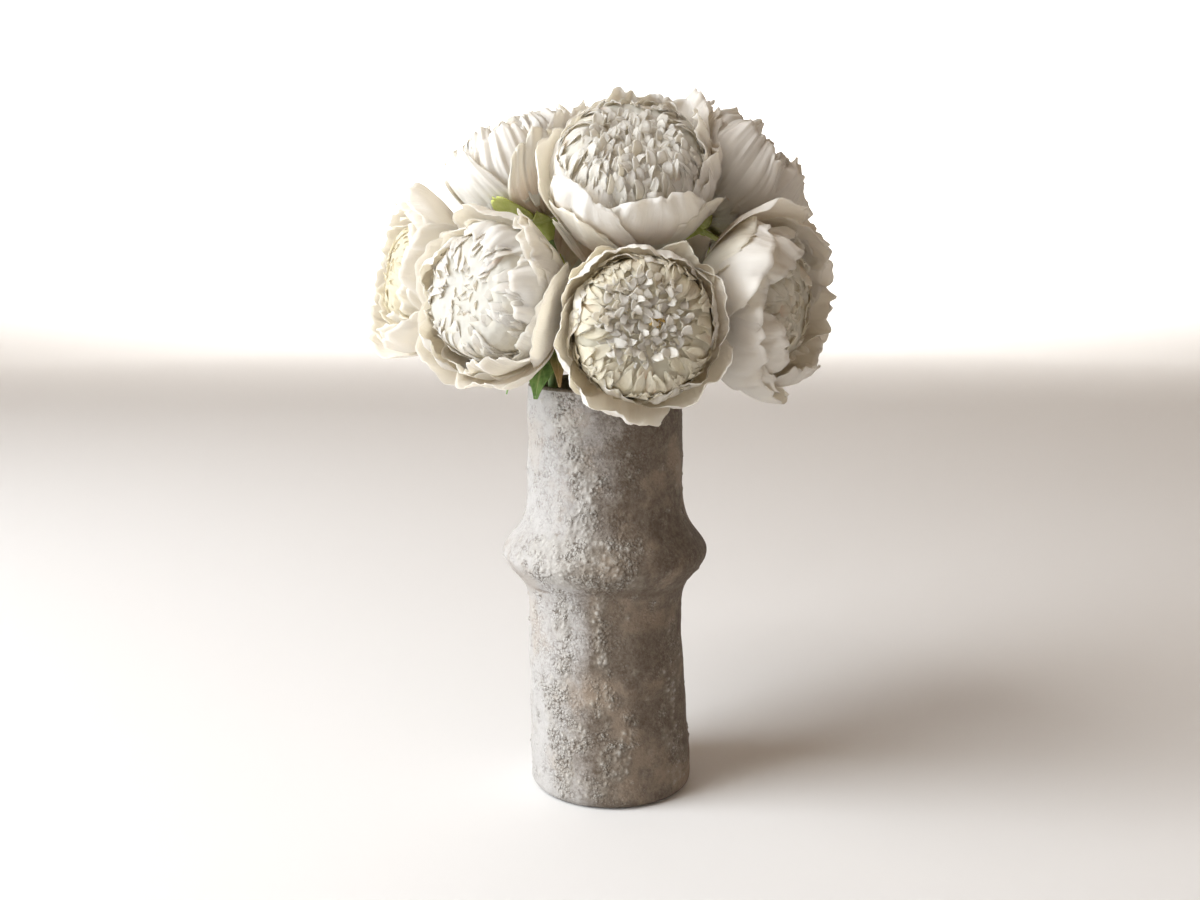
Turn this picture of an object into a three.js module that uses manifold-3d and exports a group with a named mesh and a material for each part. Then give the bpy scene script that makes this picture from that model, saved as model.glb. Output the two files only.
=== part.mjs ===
// Bunch of double white peonies standing in a tall stoneware vase with one raised joint, like a length of bamboo.
// Millimetres, +Z up. The origin is the middle of the vase's foot, on the surface that the vase stands on.
// The front of the arrangement faces -Y.
import * as THREE from "three";
import { mergeVertices } from "three/addons/utils/BufferGeometryUtils.js";
import Module from "manifold-3d";

const wasm = await Module();
wasm.setup();

const RAD = Math.PI / 180;

// ---------------------------------------------------------------- driving dimensions

const VASE_HEIGHT = 272;
const VASE_WALL = 6;
const VASE_FLOOR = 8; // thickness of the clay under the stems
const FOOT_ROUNDING = 6;
const LIP_ROUNDING = 2;
const RING_HEIGHT = 160.5; // middle of the raised joint above the foot
const RING_RISE = 16; // how far the joint stands out of the body
const RING_SPREAD = 17; // where the joint has fallen to a third of its rise
const RING_RISE_INSIDE = 9;
const BODY_RADII = [ // [height, radius] of the body without its joint
  [0, 54.2],
  [126, 50.3],
  [165, 51.2],
  [VASE_HEIGHT, 50],
];
const LEAN = -4.2; // the hand-built body leans this far along X above LEAN_TOP
const LEAN_TOP = 130;
const CRUST = 0.9; // height of the rough crust on the outside
const VASE_SIDES = 24;
const OUTSIDE_HEIGHTS = [7, 60, 128, 140, 150, 157, 164, 172, 184, 205, 240];
const INSIDE_HEIGHTS = [236, 188, 160.5, 134, 70];

const MOUTH_X = LEAN; // middle of the vase's mouth
const TIERS = [ // circles that the stems of each tier stand on
  { mouthRadius: 38, floorRadius: 31 },
  { mouthRadius: 16, floorRadius: 12 },
];
const STEM_RADIUS = 2.6;
const STEM_SIDES = 5;
const NECK_STEPS = 5; // of the curved stretch above the mouth
const BOW = 0.45; // share of the way to its bloom that a stem keeps its first direction
const NECK_LAP = 1.5; // how far the curved stretch runs into the straight one
const STEM_CLEARANCE = 0.9; // from the vase's floor to the middle of a cut end
const STEM_TWIST = 62; // degrees that the bunch spirals between its cut ends and the mouth
const CALYX_RADIUS = 7;
const CALYX_DEPTH = 13;
const SEPAL_REACH = 23;
const SEPALS = 5;
const SEAT_GAP = 0.3; // between a bloom and the calyx that carries it

const PETAL_THICKNESS = 0.8;
const PETAL_ROOT_RADIUS = 6;
const PETAL_ROOT_HEIGHT = 3;
const PETAL_TIP_ROUND = 0.16; // share of its length that a petal is shorter at its sides
const PETAL_TIP_NARROW = 0.35; // share of its width that it loses at the tip
const WAVES = 2.2; // short waves across a petal's edge
const HALF_WAVES = 3.7; // and a longer one, in radians
const PETAL_FULL_WIDTH_AT = 0.75; // share of its length where it is widest
const CLAW_RADIUS = 14; // petals don't wrap closer round the axis than this
const BLOOM_RADIUS = 54; // the size that petal lengths below are given for
const BLOOM_DEPTH = 36; // from the base of a bloom to its middle
const BLOOM_GAP = 1.6; // left between two blooms that press against each other
const PRESS_DEPTH = 9; // over this distance petals flatten against a neighbour
const LAYER_INSET = 2.8; // inner petals stop this much earlier
const SIDE_INSET = 1.6; // and so does the side of a petal that lies under its neighbour

const LEAF_THICKNESS = 0.8;
const LEAF_FOLD = 2.2; // how far a leaf's sides stand above its rib
const LEAF_HALVES = [0.12, 0.95, 0.8, 0.06]; // half width along a leaf, as a share of its widest

// Each bloom: middle, the way its face looks, size, turn about its own axis, how far its outer petals stand open
// (degrees), and the bearing about the mouth where its stem comes out. tier 0 leans out over the rim, tier 1 stands
// upright in the middle of the bunch.
const BLOOMS = [
  { name: "front", middle: [17, -84, 313], face: [0.1, -0.98, 0.08],
    radius: 50, turn: 12, open: 6, tier: 0, stem: 292 },
  { name: "front_left", middle: [-71, -52, 329], face: [-0.58, -0.8, 0.1],
    radius: 51, turn: 40, open: 14, tier: 0, stem: 207 },
  { name: "left", middle: [-127, 26, 339], face: [-0.88, -0.32, 0.22],
    radius: 52, turn: 5, open: 8, tier: 0, stem: 156 },
  { name: "right", middle: [92, -26, 323], face: [0.86, -0.5, -0.04],
    radius: 56, turn: 25, open: 12, tier: 0, stem: 355 },
  { name: "top_front", middle: [11, -32, 399], face: [0.02, -0.66, 0.75],
    radius: 56, turn: 50, open: 4, tier: 1, stem: 290 },
  { name: "top_left", middle: [-57, 20, 408], face: [-0.34, 0.12, 0.93],
    radius: 51, turn: 18, open: 8, tier: 1, stem: 161 },
  { name: "top_right", middle: [77, 28, 402], face: [0.62, 0.18, 0.76],
    radius: 53, turn: 33, open: 4, tier: 1, stem: 19 },
  { name: "top_back", middle: [10, 68, 405], face: [-0.04, 0.52, 0.85],
    radius: 52, turn: 8, open: 8, tier: 1, stem: 82 },
  { name: "back_left", middle: [-57, 100, 334], face: [-0.48, 0.86, 0.16],
    radius: 52, turn: 29, open: 8, tier: 0, stem: 117 },
  { name: "back", middle: [38, 107, 330], face: [0.3, 0.94, 0.1],
    radius: 52, turn: 47, open: 8, tier: 0, stem: 68 },
  { name: "back_right", middle: [103, 60, 334], face: [0.88, 0.44, 0.16],
    radius: 52, turn: 3, open: 8, tier: 0, stem: 29 },
];

// The petal layers of one bloom, outermost first, in degrees and millimetres. start and end are the slopes of a
// petal at its root and tip: 0 lies flat, 90 stands along the bloom's axis.
const LAYERS = [
  { count: 6, length: 86, width: 66, start: -4, end: 108, opens: 1, lift: 3.2, wave: 3, rows: 3, columns: 3 },
  { count: 5, length: 78, width: 54, start: 6, end: 122, opens: 0.5, lift: 4, wave: 2, rows: 3, columns: 2 },
];

// The dense heart: a small core, and rings of narrow petals that stand out of it.
const HEART = { radius: 28, height: 28 };
const HEART_RINGS = [
  { count: 5, polar: 46, length: 20, width: 24 },
  { count: 1, polar: 6, length: 18, width: 24 },
];
const HEART_SINK = 4; // depth of a heart petal's root below the core's surface
const HEART_PETAL_ROWS = [[0, 0.55], [0.6, 1], [1, 0.45]]; // [share of its length, share of its half width]

// Leaves: the stem that bears each, where it leaves that stem (share of the stretch above the mouth), and its tip as
// a bearing about the vase, a radius and a height.
const LEAF_ARCH = 14; // how far a leaf rises before it droops over the rim
const LEAVES = [
  { stem: "front_left", at: 0.2, bearing: 222, tipRadius: 61, tipHeight: 264, width: 20 },
  { stem: "front_left", at: 0.26, bearing: 240, tipRadius: 56, tipHeight: 274, width: 14 },
  { stem: "front", at: 0.22, bearing: 266, tipRadius: 61, tipHeight: 263, width: 16 },
  { stem: "left", at: 0.2, bearing: 170, tipRadius: 66, tipHeight: 262, width: 22 },
  { stem: "back_left", at: 0.2, bearing: 128, tipRadius: 64, tipHeight: 263, width: 22 },
  { stem: "back", at: 0.2, bearing: 82, tipRadius: 64, tipHeight: 262, width: 22 },
  { stem: "back_right", at: 0.2, bearing: 38, tipRadius: 64, tipHeight: 263, width: 22 },
  { stem: "right", at: 0.22, bearing: 338, tipRadius: 62, tipHeight: 266, width: 18 },
];

// ---------------------------------------------------------------- materials

const clay = new THREE.MeshStandardMaterial({ color: 0xa89c8a, roughness: 0.95, metalness: 0 });
const petalWhite = new THREE.MeshStandardMaterial({ color: 0xf1ece0, roughness: 0.8, metalness: 0 });
const stemGreen = new THREE.MeshStandardMaterial({ color: 0x5f8a3c, roughness: 0.7, metalness: 0 });

// ---------------------------------------------------------------- small helpers

// A repeatable number from -1 to 1 for item i of series k.
function vary(i, k) {
  const x = Math.sin(i * 12.9898 + k * 78.233) * 43758.5453;
  return 2 * (x - Math.floor(x)) - 1;
}

function between(stations, at) {
  for (let i = 1; i < stations.length; i++) {
    const [a, va] = stations[i - 1];
    const [b, vb] = stations[i];
    if (at <= b) return va + ((vb - va) * (at - a)) / (b - a);
  }
  return stations[stations.length - 1][1];
}

function solidOf(geometry) {
  const bare = geometry.clone();
  bare.deleteAttribute("normal");
  bare.deleteAttribute("uv");
  const merged = mergeVertices(bare, 1e-3);
  const mesh = new wasm.Mesh({
    numProp: 3,
    vertProperties: merged.attributes.position.array,
    triVerts: new Uint32Array(merged.index.array),
  });
  return new wasm.Manifold(mesh);
}

function geometryOf(solid) {
  const mesh = solid.getMesh();
  const geometry = new THREE.BufferGeometry();
  geometry.setAttribute("position", new THREE.BufferAttribute(mesh.vertProperties, 3));
  geometry.setIndex(new THREE.BufferAttribute(mesh.triVerts, 1));
  geometry.computeVertexNormals();
  return geometry;
}

// Joins the geometries and keeps the largest body, without hollows that the joining sealed.
function fuse(geometries) {
  const joined = wasm.Manifold.union(geometries.map(solidOf));
  const bodies = joined.decompose();
  bodies.sort((a, b) => b.volume() - a.volume());
  return geometryOf(bodies[0]);
}

// A closed blade of even thickness round a grid of points. Both faces are split into triangles alike.
function blade(grid, thickness) {
  const rows = grid.length;
  const columns = grid[0].length;
  const positions = [];
  for (const side of [0.5, -0.5]) {
    for (let i = 0; i < rows; i++) {
      for (let j = 0; j < columns; j++) {
        const along = grid[Math.min(i + 1, rows - 1)][j].clone().sub(grid[Math.max(i - 1, 0)][j]);
        const across = grid[i][Math.min(j + 1, columns - 1)].clone().sub(grid[i][Math.max(j - 1, 0)]);
        const normal = along.cross(across).normalize();
        const point = grid[i][j].clone().addScaledVector(normal, side * thickness);
        positions.push(point.x, point.y, point.z);
      }
    }
  }
  const at = (side, i, j) => side * rows * columns + i * columns + j;
  const faces = [];
  for (let i = 0; i < rows - 1; i++) {
    for (let j = 0; j < columns - 1; j++) {
      faces.push(at(0, i, j), at(0, i + 1, j), at(0, i + 1, j + 1));
      faces.push(at(0, i, j), at(0, i + 1, j + 1), at(0, i, j + 1));
      faces.push(at(1, i, j), at(1, i + 1, j + 1), at(1, i + 1, j));
      faces.push(at(1, i, j), at(1, i, j + 1), at(1, i + 1, j + 1));
    }
  }
  const wall = (i0, j0, i1, j1) => {
    faces.push(at(0, i0, j0), at(0, i1, j1), at(1, i1, j1));
    faces.push(at(0, i0, j0), at(1, i1, j1), at(1, i0, j0));
  };
  for (let i = 0; i < rows - 1; i++) {
    wall(i + 1, 0, i, 0);
    wall(i, columns - 1, i + 1, columns - 1);
  }
  for (let j = 0; j < columns - 1; j++) {
    wall(0, j, 0, j + 1);
    wall(rows - 1, j + 1, rows - 1, j);
  }
  const geometry = new THREE.BufferGeometry();
  geometry.setAttribute("position", new THREE.Float32BufferAttribute(positions, 3));
  geometry.setIndex(faces);
  return geometry;
}

// ---------------------------------------------------------------- the vase

function leanAt(height) {
  return LEAN * THREE.MathUtils.smoothstep(height, 0, LEAN_TOP);
}

function ringAt(height, rise) {
  return rise * Math.exp(-(((height - RING_HEIGHT) / RING_SPREAD) ** 2));
}

function outsideRadius(height) {
  const body = between(BODY_RADII, height) + ringAt(height, RING_RISE);
  const up = Math.max(0, FOOT_ROUNDING - height);
  return body - (FOOT_ROUNDING - Math.sqrt(FOOT_ROUNDING ** 2 - up ** 2));
}

function insideRadius(height) {
  return between(BODY_RADII, height) - VASE_WALL + ringAt(height, RING_RISE_INSIDE);
}

// Low swellings of the crust, as a share from -1 to 1.
function crustAt(angle, height) {
  const broad = Math.sin(3 * angle + height * 0.045) * Math.sin(height * 0.07 + 1.3);
  const fine = Math.sin(7 * angle - height * 0.11) * Math.cos(5 * angle + height * 0.083);
  return 0.5 * broad + 0.5 * fine;
}

function vase() {
  const lipOutside = VASE_HEIGHT - LIP_ROUNDING;
  const profile = [[0, 0], [outsideRadius(0), 0], [outsideRadius(0.3 * FOOT_ROUNDING), 0.3 * FOOT_ROUNDING]];
  for (const height of OUTSIDE_HEIGHTS) profile.push([outsideRadius(height), height]);
  profile.push([outsideRadius(lipOutside), lipOutside]);
  profile.push([outsideRadius(VASE_HEIGHT) - LIP_ROUNDING, VASE_HEIGHT]);
  profile.push([insideRadius(VASE_HEIGHT) + LIP_ROUNDING, VASE_HEIGHT]);
  profile.push([insideRadius(lipOutside), lipOutside]);
  for (const height of INSIDE_HEIGHTS) profile.push([insideRadius(height), height]);
  profile.push([insideRadius(VASE_FLOOR) - FOOT_ROUNDING, VASE_FLOOR], [0, VASE_FLOOR]);
  const outline = profile.map(([radius, height]) => new THREE.Vector2(radius, height));
  const geometry = new THREE.LatheGeometry(outline, VASE_SIDES);
  geometry.rotateX(90 * RAD);
  const position = geometry.attributes.position;
  for (let i = 0; i < position.count; i++) {
    const height = position.getZ(i);
    const radius = Math.hypot(position.getX(i), position.getY(i));
    const outside = radius > outsideRadius(height) - 1 && height > FOOT_ROUNDING && height < lipOutside - 1;
    if (outside) {
      const angle = Math.atan2(position.getY(i), position.getX(i));
      const grown = 1 + (CRUST * crustAt(angle, height)) / radius;
      position.setXY(i, position.getX(i) * grown, position.getY(i) * grown);
    }
    position.setX(i, position.getX(i) + leanAt(height));
  }
  return geometry;
}

// ---------------------------------------------------------------- one bloom's own frame

// base, axis and two directions across it, for a bloom of the table.
function frameOf(bloom) {
  const axis = new THREE.Vector3(...bloom.face).normalize();
  const base = new THREE.Vector3(...bloom.middle).addScaledVector(axis, -BLOOM_DEPTH);
  const side = new THREE.Vector3(0, 0, 1).cross(axis).normalize();
  const up = axis.clone().cross(side);
  return { base, axis, side, up };
}

// A point at a distance from the axis, an angle round it and a height over the bloom's base.
function pointIn(frame, distance, angle, height) {
  return frame.base
    .clone()
    .addScaledVector(frame.side, distance * Math.cos(angle))
    .addScaledVector(frame.up, distance * Math.sin(angle))
    .addScaledVector(frame.axis, height);
}

// The planes between a bloom and its neighbours, each as a direction and how far out it stands from the middle.
function pressPlanes(bloom) {
  const middle = new THREE.Vector3(...bloom.middle);
  const planes = [];
  for (const other of BLOOMS) {
    if (other === bloom) continue;
    const away = new THREE.Vector3(...other.middle).sub(middle);
    const apart = away.length();
    const share = bloom.radius / (bloom.radius + other.radius);
    planes.push({ normal: away.normalize(), reach: apart * share - BLOOM_GAP / 2 });
  }
  return planes;
}

// Bends a point clear of the neighbours: beyond PRESS_DEPTH before a plane, it comes ever closer but never through.
function pressed(point, middle, planes, inset) {
  for (const { normal, reach } of planes) {
    const limit = reach - inset - PETAL_THICKNESS / 2;
    const out = point.clone().sub(middle).dot(normal);
    const free = limit - PRESS_DEPTH;
    if (out > free) {
      const allowed = free + PRESS_DEPTH * (1 - Math.exp(-(out - free) / PRESS_DEPTH));
      point.addScaledVector(normal, allowed - out);
    }
  }
  return point;
}

// ---------------------------------------------------------------- petals

// The petals of one layer, each with its own small differences.
function petalsOf(bloom, layer, level, seed) {
  const size = bloom.radius / BLOOM_RADIUS;
  const petals = [];
  for (let i = 0; i < layer.count; i++) {
    const item = seed + i;
    petals.push({
      angle: (bloom.turn + (360 / layer.count) * (i + 0.5 * level) + 5 * vary(item, 1)) * RAD,
      length: layer.length * size * (1 + 0.05 * vary(item, 2)),
      width: layer.width * size * (1 + 0.06 * vary(item, 3)),
      start: layer.start * RAD,
      end: (layer.end - layer.opens * bloom.open + 6 * vary(item, 4)) * RAD,
      lift: layer.lift * size,
      wave: layer.wave * size,
      phase: Math.PI * vary(item, 5),
    });
  }
  return petals;
}

// Half the petal's width at a share u of its length: narrow at the claw, broad above the middle, round at the tip.
function halfWidth(petal, u) {
  const spread = THREE.MathUtils.smoothstep(u, -0.1, PETAL_FULL_WIDTH_AT);
  const tip = 1 - PETAL_TIP_NARROW * THREE.MathUtils.smoothstep(u, PETAL_FULL_WIDTH_AT, 1);
  return (petal.width / 2) * spread * tip;
}

// The middle surface of a petal: u from root to tip, v from -1 to 1 across.
function petalPoint(frame, petal, u, v) {
  const reach = petal.length * u * (1 - PETAL_TIP_ROUND * v * v);
  const bend = (petal.end - petal.start) / petal.length;
  const slope = petal.start + bend * reach;
  const distance = PETAL_ROOT_RADIUS + (Math.sin(slope) - Math.sin(petal.start)) / bend;
  const height = PETAL_ROOT_HEIGHT + (Math.cos(petal.start) - Math.cos(slope)) / bend;
  const ripple = Math.sin(WAVES * Math.PI * v + petal.phase) + 0.6 * Math.sin(HALF_WAVES * v - 2 * petal.phase);
  const out = petal.lift * v * u + petal.wave * u ** 4 * ripple;
  const angle = petal.angle + (v * halfWidth(petal, u)) / Math.max(distance, CLAW_RADIUS);
  return pointIn(frame, distance + out * Math.sin(slope), angle, height - out * Math.cos(slope));
}

// A narrow petal of the heart, standing out of the core at an angle from the bloom's axis.
function heartPetalGrid(frame, bloom, ring, i, seed) {
  const size = bloom.radius / BLOOM_RADIUS;
  const polar = (ring.polar + 6 * vary(seed + i, 6)) * RAD;
  const around = (bloom.turn + (360 / ring.count) * i + 10 * vary(seed + i, 7)) * RAD;
  return HEART_PETAL_ROWS.map(([u, half]) =>
    [-1, 1].map((v) => {
      const depth = ring.length * size * u - HEART_SINK;
      const tilt = polar * (1 - 0.25 * u);
      const distance = (HEART.radius * size + depth) * Math.sin(tilt);
      const height = HEART.height * size + (HEART.height * size + depth) * Math.cos(tilt);
      const across = (v * half * ring.width * size) / 2;
      const point = pointIn(frame, distance, around, height);
      const direction = frame.side.clone().multiplyScalar(-Math.sin(around));
      direction.addScaledVector(frame.up, Math.cos(around));
      return point.addScaledVector(direction, across);
    })
  );
}

function core(frame, bloom, planes, middle) {
  const size = bloom.radius / BLOOM_RADIUS;
  const geometry = new THREE.SphereGeometry(1, 8, 5);
  geometry.rotateX(90 * RAD);
  const position = geometry.attributes.position;
  for (let i = 0; i < position.count; i++) {
    const point = frame.base.clone();
    point.addScaledVector(frame.side, position.getX(i) * HEART.radius * size);
    point.addScaledVector(frame.up, position.getY(i) * HEART.radius * size);
    point.addScaledVector(frame.axis, HEART.height * size + position.getZ(i) * HEART.height * size);
    pressed(point, middle, planes, 2 * LAYER_INSET);
    position.setXYZ(i, point.x, point.y, point.z);
  }
  return geometry;
}

function bloomGeometry(bloom, index) {
  const frame = frameOf(bloom);
  const middle = new THREE.Vector3(...bloom.middle);
  const planes = pressPlanes(bloom);
  const parts = [core(frame, bloom, planes, middle)];
  LAYERS.forEach((layer, level) => {
    for (const petal of petalsOf(bloom, layer, level, 100 * index + 20 * level)) {
      const grid = [];
      for (let i = 0; i <= layer.rows; i++) {
        const row = [];
        for (let j = 0; j <= layer.columns; j++) {
          const v = (2 * j) / layer.columns - 1;
          const point = petalPoint(frame, petal, i / layer.rows, v);
          const inset = level * LAYER_INSET + SIDE_INSET * (1 - v);
          row.push(pressed(point, middle, planes, inset));
        }
        grid.push(row);
      }
      parts.push(blade(grid, PETAL_THICKNESS));
    }
  });
  HEART_RINGS.forEach((ring, level) => {
    for (let i = 0; i < ring.count; i++) {
      const grid = heartPetalGrid(frame, bloom, ring, i, 100 * index + 60 + 10 * level);
      for (const row of grid) row.forEach((point) => pressed(point, middle, planes, 2 * LAYER_INSET));
      parts.push(blade(grid, PETAL_THICKNESS));
    }
  });
  return fuse(parts);
}

// ---------------------------------------------------------------- stems, calyxes and leaves

// The two stretches of a stem: straight from its cut end on the vase's floor to the mouth, then curved to its bloom.
function stemLines(bloom) {
  const { base, axis } = frameOf(bloom);
  const tier = TIERS[bloom.tier];
  const bearing = bloom.stem * RAD;
  const start = bearing - STEM_TWIST * RAD;
  const cutHeight = VASE_FLOOR + STEM_CLEARANCE;
  const cut = new THREE.Vector3(tier.floorRadius * Math.cos(start), tier.floorRadius * Math.sin(start), cutHeight);
  const mouthX = MOUTH_X + tier.mouthRadius * Math.cos(bearing);
  const mouth = new THREE.Vector3(mouthX, tier.mouthRadius * Math.sin(bearing), VASE_HEIGHT - LIP_ROUNDING);
  const end = base.clone().addScaledVector(axis, 3 - CALYX_DEPTH);
  const along = mouth.clone().sub(cut).normalize();
  const handle = BOW * end.distanceTo(mouth);
  const straight = new THREE.LineCurve3(cut, mouth.clone().addScaledVector(along, NECK_LAP));
  const leaving = mouth.clone().addScaledVector(along, handle);
  const arriving = end.clone().addScaledVector(axis, -handle);
  const neck = new THREE.CubicBezierCurve3(mouth.addScaledVector(along, -NECK_LAP), leaving, arriving, end);
  return { straight, neck };
}

function stemTube(curve, steps) {
  const section = new THREE.Shape();
  for (let i = 0; i < STEM_SIDES; i++) {
    const angle = (2 * Math.PI * i) / STEM_SIDES;
    const [x, y] = [STEM_RADIUS * Math.cos(angle), STEM_RADIUS * Math.sin(angle)];
    if (i === 0) section.moveTo(x, y);
    else section.lineTo(x, y);
  }
  section.closePath();
  return new THREE.ExtrudeGeometry(section, { steps, extrudePath: curve, bevelEnabled: false });
}

// The cup under a bloom, with its rim drawn out into pointed sepals that lie along the outer petals.
function calyx(frame, bloom) {
  const size = bloom.radius / BLOOM_RADIUS;
  const reach = SEPAL_REACH * size;
  const rings = [
    { round: STEM_RADIUS + 0.6, pointed: STEM_RADIUS + 0.6, low: -CALYX_DEPTH, high: -CALYX_DEPTH },
    { round: CALYX_RADIUS, pointed: CALYX_RADIUS, low: -5, high: -5 },
    { round: CALYX_RADIUS + 2, pointed: reach, low: -1.8, high: 1 },
    { round: CALYX_RADIUS + 1.4, pointed: reach - 0.6, low: -0.9, high: 1.8 },
  ];
  const points = rings.map((ring) =>
    Array.from({ length: 2 * SEPALS }, (_, i) => {
      const angle = bloom.turn * RAD + (Math.PI * i) / SEPALS;
      const tip = i % 2 === 0;
      return pointIn(frame, tip ? ring.pointed : ring.round, angle, tip ? ring.high : ring.low);
    })
  );
  const corners = [];
  const bottom = pointIn(frame, 0, 0, -CALYX_DEPTH);
  const top = pointIn(frame, 0, 0, -SEAT_GAP);
  for (let i = 0; i < 2 * SEPALS; i++) {
    const next = (i + 1) % (2 * SEPALS);
    corners.push(bottom, points[0][next], points[0][i]);
    for (let k = 0; k < rings.length - 1; k++) {
      corners.push(points[k][i], points[k][next], points[k + 1][next]);
      corners.push(points[k][i], points[k + 1][next], points[k + 1][i]);
    }
    corners.push(points[rings.length - 1][i], points[rings.length - 1][next], top);
  }
  return new THREE.BufferGeometry().setFromPoints(corners);
}

// A pointed leaf with a folded rib, from a point of its stem out over the rim to its tip.
function leafBlade(leaf, neck) {
  const bearing = leaf.bearing * RAD;
  const root = neck.getPoint(leaf.at);
  const tipX = MOUTH_X + leaf.tipRadius * Math.cos(bearing);
  const tip = new THREE.Vector3(tipX, leaf.tipRadius * Math.sin(bearing), leaf.tipHeight);
  const over = root.clone().lerp(tip, 0.6).setZ(root.z + LEAF_ARCH);
  const rib = new THREE.QuadraticBezierCurve3(root, over, tip);
  const across = new THREE.Vector3(root.y - tip.y, tip.x - root.x, 0).normalize();
  const grid = LEAF_HALVES.map((half, i) => {
    const middle = rib.getPoint(i / (LEAF_HALVES.length - 1));
    return [-1, 0, 1].map((v) => {
      const point = middle.clone().addScaledVector(across, (v * half * leaf.width) / 2);
      point.z += Math.abs(v) * half * LEAF_FOLD;
      return point;
    });
  });
  return blade(grid, LEAF_THICKNESS);
}

function stemGeometry(bloom) {
  const frame = frameOf(bloom);
  const { straight, neck } = stemLines(bloom);
  const parts = [stemTube(straight, 1), stemTube(neck, NECK_STEPS), calyx(frame, bloom)];
  for (const leaf of LEAVES) {
    if (leaf.stem === bloom.name) parts.push(leafBlade(leaf, neck));
  }
  return fuse(parts);
}

// ---------------------------------------------------------------- the arrangement

function piece(name, geometry, material) {
  const mesh = new THREE.Mesh(geometry, material);
  mesh.name = name;
  return mesh;
}

const arrangement = new THREE.Group();
arrangement.add(piece("vase", vase(), clay));
BLOOMS.forEach((bloom, index) => {
  arrangement.add(piece("peony_" + bloom.name, bloomGeometry(bloom, index), petalWhite));
  arrangement.add(piece("stem_" + bloom.name, stemGeometry(bloom), stemGreen));
});

export default arrangement;
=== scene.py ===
# %% [markdown]
# # White peonies in a crusty stoneware vase
#
# A dense dome of double white peonies stands in a tall vase with one raised joint, like a length of
# bamboo. The frame that is loaded here already holds every piece at its true size and place, as plain
# solids. The cells below give those solids their looks: thin petals in their layers, veined leaves, and
# rough clay.
# %% Load the frame
import math

import bpy
import numpy as np
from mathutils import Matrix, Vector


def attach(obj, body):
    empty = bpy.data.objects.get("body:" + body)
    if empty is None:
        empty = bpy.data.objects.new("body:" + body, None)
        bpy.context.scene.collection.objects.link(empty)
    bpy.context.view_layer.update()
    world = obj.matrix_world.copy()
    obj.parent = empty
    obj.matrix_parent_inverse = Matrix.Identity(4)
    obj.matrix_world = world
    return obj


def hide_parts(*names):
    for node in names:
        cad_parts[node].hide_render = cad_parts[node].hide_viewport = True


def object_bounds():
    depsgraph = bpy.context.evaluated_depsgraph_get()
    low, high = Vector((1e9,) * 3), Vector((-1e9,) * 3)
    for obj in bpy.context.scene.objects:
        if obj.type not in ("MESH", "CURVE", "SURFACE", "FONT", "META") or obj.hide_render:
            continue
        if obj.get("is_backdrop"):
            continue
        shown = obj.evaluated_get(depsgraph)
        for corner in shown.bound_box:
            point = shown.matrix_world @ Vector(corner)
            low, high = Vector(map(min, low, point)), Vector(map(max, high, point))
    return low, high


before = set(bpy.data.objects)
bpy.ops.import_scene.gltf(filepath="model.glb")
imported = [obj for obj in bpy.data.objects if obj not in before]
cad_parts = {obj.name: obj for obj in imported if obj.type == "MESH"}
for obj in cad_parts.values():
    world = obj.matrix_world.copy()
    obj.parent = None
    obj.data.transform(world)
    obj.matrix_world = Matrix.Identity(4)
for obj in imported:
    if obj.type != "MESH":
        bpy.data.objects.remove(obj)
cad_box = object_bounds()
print("pieces in the frame:", len(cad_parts))

# %% [markdown]
# ## The camera
#
# A camera is a place, a direction and a focal length. These come from the ellipses of the foot and of the
# raised joint: the foot looks rounder than the joint, so the camera stands close, a little above the
# flowers' middle, and looks slightly down. All sizes in this file are millimetres until they reach
# Blender, which works in metres.
# %% Camera
MM = 0.001
CAMERA_PLACE = (-7.5, -850.0, 372.0)
CAMERA_PITCH = 9.7
SENSOR_WIDTH = 36.0
IMAGE_WIDTH = 1200
FOCAL_LENGTH_IN_PIXELS = 1315.0

camera_data = bpy.data.cameras.new("camera")
camera_data.sensor_width = SENSOR_WIDTH
camera_data.lens = SENSOR_WIDTH * FOCAL_LENGTH_IN_PIXELS / IMAGE_WIDTH
camera = bpy.data.objects.new("camera", camera_data)
camera.location = [MM * x for x in CAMERA_PLACE]
camera.rotation_euler = (math.radians(90 - CAMERA_PITCH), 0, 0)
bpy.context.scene.collection.objects.link(camera)
bpy.context.scene.camera = camera
print("focal length in mm:", round(camera_data.lens, 2))

# %% [markdown]
# ## Numbers that vary, but never change
#
# No two petals are alike, yet the bunch has to come out the same every time. A random generator would do,
# but then one more petal would reshuffle all that follow. So each petal asks for numbers by its own item
# and series.
# %% Repeatable variation
def vary(item, series):
    """A repeatable number from -1 to 1, or an array of them."""
    x = np.sin(item * 12.9898 + series * 78.233) * 43758.5453
    return 2 * (x - np.floor(x)) - 1


def smoothstep(x, low, high):
    t = np.clip((x - low) / (high - low), 0, 1)
    return t * t * (3 - 2 * t)


print("first draws:", [round(float(vary(i, 1)), 3) for i in range(4)])

# %% [markdown]
# ## Where each bloom sits
#
# Every bloom has a middle, the way that its face looks, a radius, a turn about its own axis, and an angle
# by which its outer petals stand open. This is the same list that the solids were made from, so the fine
# petals below land on the plain ones. A long list of dicts repeats every name, so one helper takes the
# names from a header.
# %% Bloom table
BLOOM_RADIUS = 54.0
BLOOM_DEPTH = 36.0


def table(header, *rows):
    """Rows of values as dicts, named by the words of the header."""
    return [dict(zip(header.split(), row)) for row in rows]


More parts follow.
